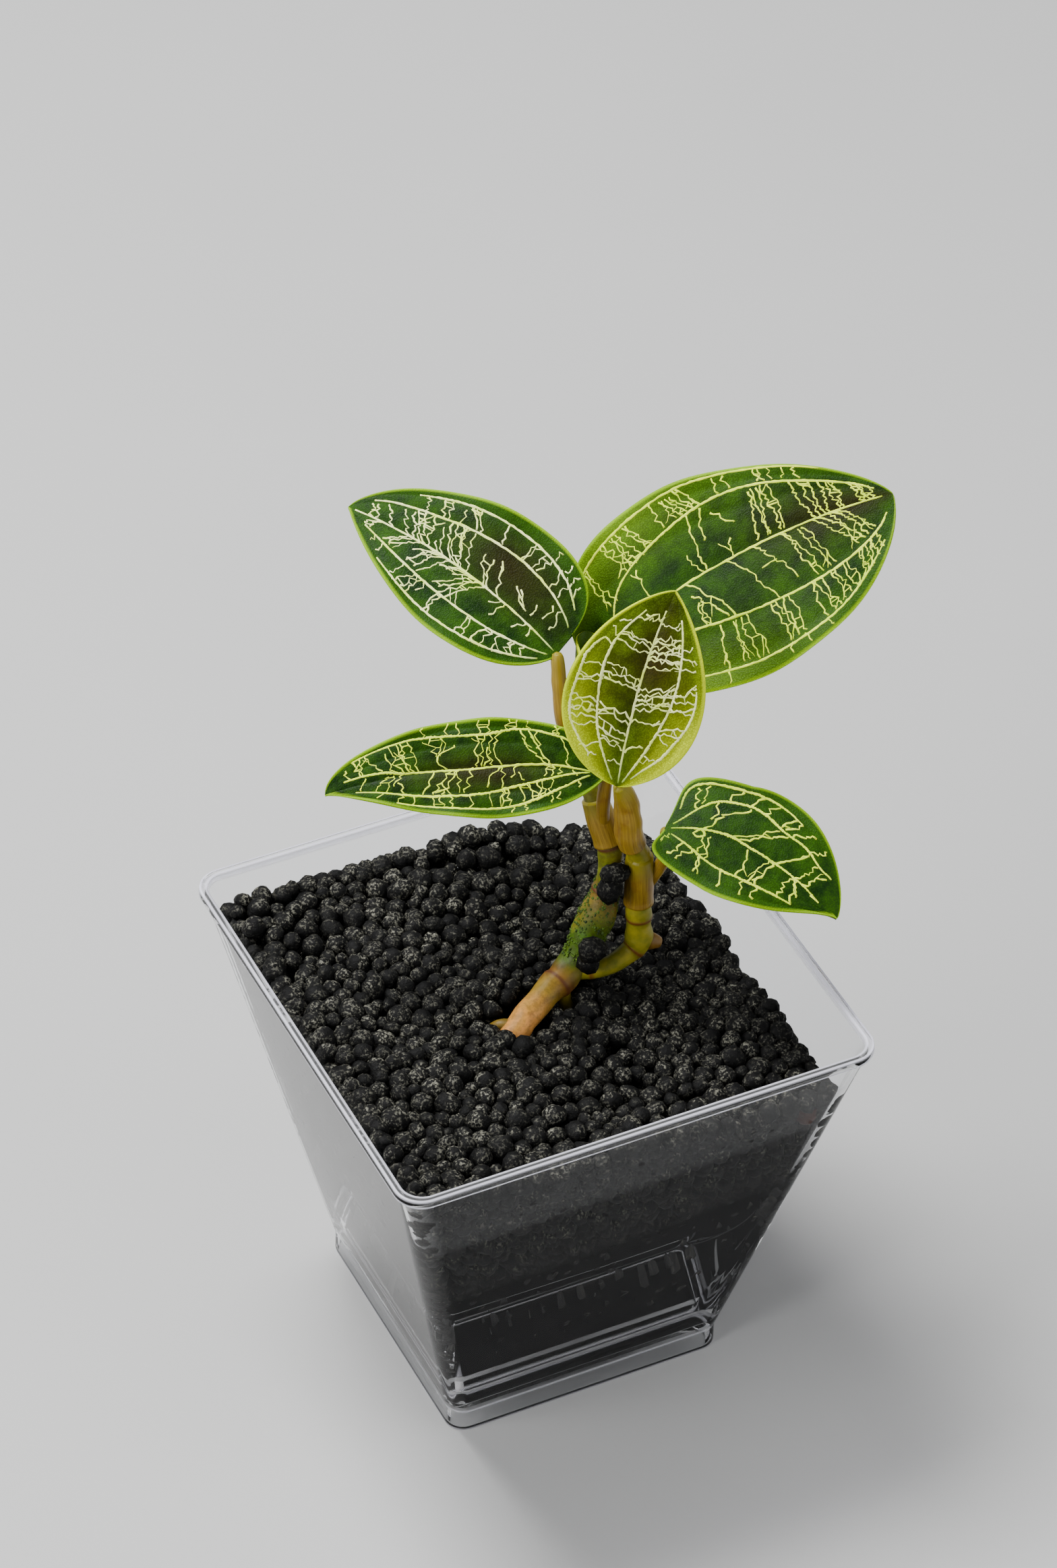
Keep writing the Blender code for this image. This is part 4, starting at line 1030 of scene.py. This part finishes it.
def young_points(leaf, t, v):
    """Points of the young leaf: a flat leaf shape rolled round its own line in a widening spiral."""
    base = np.array(leaf["base"])
    tip = np.array(leaf["tip"])
    line = unit(tip - base)
    front = unit(np.cross(np.cross(line, leaf["facing"]), line))
    side = np.cross(line, front)
    share = half_width(t, leaf["swell"], leaf["taper"])
    radius = leaf["roll"] + leaf["spiral"] * v * share
    turn = leaf["half"][0] * share * v / leaf["roll"]
    axis = base + (tip - base) * t[:, None] + (4 * t * (1 - t))[:, None] * np.array(leaf["bow"])
    out = radius * np.cos(turn) - leaf["roll"]
    return axis - front * out[:, None] + side * (radius * np.sin(turn))[:, None]


def facing_out(shape, leaf, t, v):
    """The way the leaf's face looks at each place, from the slopes along and across it."""
    step = 0.002
    after, before = np.clip(t + step, 0, 0.9995), np.clip(t - step, 0.0005, 1)
    along = shape(leaf, after, v) - shape(leaf, before, v)
    across = shape(leaf, t, np.clip(v + step, -1, 1)) - shape(leaf, t, np.clip(v - step, -1, 1))
    return unit(np.cross(along, across))


def build_blade(name, shape, leaf, skin, long=150, wide=72):
    """A fine grid on the leaf's shape, doubled for its two faces and closed round the margin.

    The grid is closer towards both ends and both margins, where the blade also thins out.
    """
    t = 0.5 - 0.5 * np.cos(np.pi * np.linspace(0.02, 0.985, long))
    v = np.sin(np.pi / 2 * np.linspace(-1, 1, wide))
    tt, vv = [grid.ravel() for grid in np.meshgrid(t, v, indexing="ij")]
    middle = shape(leaf, tt, vv)
    half = 0.5 * BLADE * np.sqrt(np.clip((1 - np.abs(vv)) / 0.03, 0.12, 1))[:, None]
    out = facing_out(shape, leaf, tt, vv) * half
    count = len(tt)
    upper = grid_faces(long, wide)
    lower = upper[:, ::-1] + count
    grid = np.arange(count).reshape(long, wide)
    loop = np.concatenate([grid[0, :], grid[1:, -1], grid[-1, -2::-1], grid[-2:0:-1, 0]])
    following = np.roll(loop, -1)
    rim = np.stack([loop, loop + count, following + count, following], -1)
    from_margin = np.linalg.norm(shape(leaf, tt, np.sign(vv) + (vv == 0)) - middle, axis=1)
    across, along = leaf["heart"]
    looks = {"rim": np.clip(1 - from_margin / 1.1, 0, 1),
             "side": np.clip((np.abs(vv) - 0.72) / 0.2, 0, 1),
             "heart": np.exp(-((vv - across) / 0.42) ** 2 - ((tt - along) / 0.26) ** 2),
             "glow": np.clip(leaf["glow"] * np.abs(vv) ** 2.2 * np.exp(-(tt / 0.42) ** 2), 0, 1)}
    values = {label: np.tile(numbers, 2) for label, numbers in looks.items()}
    values["under"] = np.repeat([0.0, 1.0], count)
    new_piece(name + "_blade", np.vstack([middle + out, middle - out]), [upper, lower, rim], name,
              skin, uv=np.tile(np.column_stack([tt, 0.5 + 0.5 * vv]), (2, 1)),
              values=values)


def ridge(shape, leaf, t, v, width):
    """A low ridge carried along a path on the leaf: five points across, the outer two under the skin.

    A narrow ridge is lower in proportion.
    """
    t = np.clip(t, 0.004, 0.992)
    v = np.clip(v, -0.97, 0.97)
    middle = shape(leaf, t, v)
    out = facing_out(shape, leaf, t, v)
    ahead = unit(np.gradient(middle, axis=0))
    side = unit(np.cross(out, ahead))
    across = np.array([-0.5, -0.3, 0.0, 0.3, 0.5])
    up = np.array([-0.16, 0.65, 1.0, 0.65, -0.16])
    skin = 0.5 * BLADE * 0.96
    raised = up[None] * VEIN_RAISED * np.minimum(1, width[:, None] / 0.3)
    points = (middle[:, None] + side[:, None] * (across[None] * width[:, None])[..., None]
              + out[:, None] * (skin + raised)[..., None])
    rows, wide = len(t), len(across)
    first = np.arange(wide)[None]
    faces = [grid_faces(rows, wide, around=True), first[:, ::-1], first + (rows - 1) * wide]
    return points.reshape(-1, 3), faces, {"along": np.repeat(t, wide)}


def crooked(rng, count, size):
    """Sideways steps for a crooked strand: short zigzags on a slower bend, nothing at either end."""
    s = np.linspace(0, 1, count)
    slow = np.cumsum(rng.normal(size=count))
    slow = slow - slow[0] - (slow[-1] - slow[0]) * s
    zigzag = rng.uniform(-1, 1, count) * np.minimum(1, 4 * np.minimum(s, 1 - s))
    return size * (0.8 * slow / max(np.abs(slow).max(), 1e-6) + 0.55 * zigzag)


def main_vein(nodes, rng, breadth):
    """A main vein's places and widths: a smooth curve through its nodes, thinner at both ends."""
    path = smooth_path(np.array(nodes) / 100, 26)
    t, v = path[:, 0], path[:, 1]
    s = np.linspace(0, 1, len(t))
    v = v + crooked(rng, len(t), 0.10 / breadth)
    width = MAIN_VEIN_WIDTH * (0.34 + 0.66 * np.sin(np.pi * np.clip(0.06 + 0.88 * s, 0, 1)) ** 0.6)
    return t, v, width * (1 + 0.16 * rng.normal(size=len(t)).clip(-1.5, 1.5))


def strand_paths(bundle, rng, length, breadth, width):
    """Strands of one bundle: they start close together, spread a little, fork, and some are bridged.

    A strand that starts on the midrib first follows it a little and then turns across to its end.
    """
    t0, v0, t1, v1 = np.array(bundle[:4]) / 100
    strands = bundle[4]
    across = abs(v1 - v0) * breadth
    count = max(5, int(np.hypot(across, (t1 - t0) * length) / STRAND_STEP))
    s = np.linspace(0, 1, count)
    turn = (0.85, 1.25) if abs(v0) < 0.13 else (1.0, 1.0)
    paths, whole = [], []
    for strand in range(strands):
        aside = (strand - (strands - 1) / 2 + rng.uniform(-0.2, 0.2)) / length
        t = (t0 + (t1 - t0) * s ** turn[0] + aside * (0.6 + 0.5 * s)
             + crooked(rng, count, 0.48 / length))
        v = v0 + (v1 - v0) * s ** turn[1] + crooked(rng, count, 0.16 / breadth)
        thick = width * rng.uniform(0.8, 1.15) * (1 + 0.22 * rng.normal(size=count).clip(-1.5, 1.5))
        thick = thick * (0.72 + 0.28 * np.abs(2 * s - 1))
        paths.append((t, v, thick))
        whole.append((t, v, thick))
        if count > 6 and rng.uniform() < STRAND_FORKS:
            fork = rng.integers(count // 2, count - 2)
            q = np.linspace(0, 1, 5)
            away = rng.choice([-1, 1]) * rng.uniform(0.6, 1.3) / length
            paths.append((t[fork] + away * q + crooked(rng, 5, 0.15 / length),
                          v[fork] + (v[-1] - v[fork]) * q * rng.choice([0.6, 1.0]),
                          thick[fork] * (0.9 - 0.3 * q)))
    for (t, v, thick), (next_t, next_v, _) in zip(whole, whole[1:]):
        for place in rng.integers(1, count - 1, 2):
            q = np.linspace(0, 1, 4)
            paths.append((t[place] + (next_t[place] - t[place]) * q,
                          v[place] + (next_v[place] - v[place]) * q, thick[place] * np.full(4, 0.8)))
    return paths


def build_veins(name, shape, leaf, skin):
    """The veins of one leaf, raised from its face as low ridges in one piece."""
    rng = np.random.default_rng(leaf["seed"])
    length = np.linalg.norm(np.array(leaf["tip"]) - np.array(leaf["base"]))
    paths = []
    for nodes in MAIN_VEINS[name]:
        side = 0 if sum(place[1] for place in nodes) < 0 else 1
        paths.append(main_vein(nodes, rng, leaf["half"][side]))
    for bundle in CROSS_VEINS[name]:
        side = 0 if bundle[1] + bundle[3] < 0 else 1
        paths += strand_paths(bundle, rng, length, leaf["half"][side], STRAND_WIDTH[name])
    points, faces, numbers = merge([ridge(shape, leaf, *path) for path in paths])
    new_piece(name + "_veins", points, faces, None, skin, values=numbers)


def build_leaves():
    """Each leaf's blade and veins. The front and the young leaf are lime, the others deep green.

    The veins are cream on the front, the young and the upper left leaf, and gold on the others.
    """
    deep = leaf_skin("leaf_green", (0.0036, 0.024, 0.0), (0.024, 0.082, 0.0), (0.21, 0.38, 0.0),
                     (0.018, 0.013, 0.0), 0.9)
    bright = leaf_skin("leaf_lime", (0.032, 0.052, 0.0), (0.10, 0.17, 0.0), (0.62, 0.74, 0.0),
                       (0.036, 0.027, 0.0), 1.0)
    cream = vein_skin("vein_cream", (0.92, 0.97, 0.42), (0.76, 0.90, 0.12), (0.22, 0.42, 0.01))
    gold = vein_skin("vein_gold", (0.80, 0.93, 0.06), (0.58, 0.78, 0.01), (0.16, 0.34, 0.005))
    for name, leaf in LEAVES.items():
        build_blade(name, leaf_points, leaf, bright if name == "leaf_front" else deep)
        pale = name in ("leaf_front", "leaf_upper_left")
        build_veins(name, leaf_points, leaf, cream if pale else gold)
    build_blade("leaf_young", young_points, YOUNG_LEAF, bright, 70, 60)
    build_veins("leaf_young", young_points, YOUNG_LEAF, cream)


# Stage

def build_stage():
    """A wide pale floor, three soft lights and a soft sky."""
    mesh = bpy.data.meshes.new("floor")
    low, high = -FLOOR_REACH, FLOOR_REACH
    mesh.from_pydata([(low, low, 0), (high, low, 0), (high, high, 0), (low, high, 0)],
                     [], [(0, 1, 2, 3)])
    mesh.materials.append(studio_paper())
    floor = placed("floor", mesh)

    for name, spot, size, power in LIGHTS:
        light = bpy.data.lights.new(name, "AREA")
        light.size = size
        light.energy = power
        at = np.array(spot) + PLACE
        look = np.array(LIGHTS_AIM) + PLACE - at
        placed(name, light).matrix_world = looking(at, look, np.array([0, 0, 1.0]))
    world = bpy.data.worlds.new("studio")
    world.use_nodes = True
    sky = world.node_tree.nodes["Background"].inputs
    sky["Color"].default_value = SKY_COLOUR
    sky["Strength"].default_value = SKY_STRENGTH
    bpy.context.scene.world = world


def looking(at, look, up):
    """The placing of a camera or lamp at a point, looking one way, with its top towards up."""
    look = unit(look)
    right = unit(np.cross(look, up))
    top = np.cross(right, look)
    turn = Matrix.Identity(4)
    for row in range(3):
        turn[row][0], turn[row][1], turn[row][2] = right[row], top[row], -look[row]
        turn[row][3] = at[row]
    return turn


def build_camera():
    """The photograph's view: from the front, above and a little to the left, through a long lens."""
    turn, rise, roll = np.radians(CAMERA_ANGLES)
    look = np.array([np.sin(turn) * np.cos(rise), np.cos(turn) * np.cos(rise), -np.sin(rise)])
    right = unit(np.cross(look, [0, 0, 1.0]))
    top = np.cross(right, look)
    up = -np.sin(roll) * right + np.cos(roll) * top
    aim = np.array(CAMERA_AIM) + CAMERA_LIFT * up + PLACE
    camera = bpy.data.cameras.new("camera")
    camera.sensor_fit = "VERTICAL"
    camera.sensor_height = SENSOR
    camera.lens = SENSOR * LENS_PIXELS / PHOTO_HEIGHT
    holder = placed("camera", camera)
    holder.matrix_world = looking(aim - look * CAMERA_DISTANCE, look, up)
    bpy.context.scene.camera = holder


build_stage()
build_camera()
build_cup()
build_granules(baked_soil())
build_stem()
build_stalks()
build_leaves()
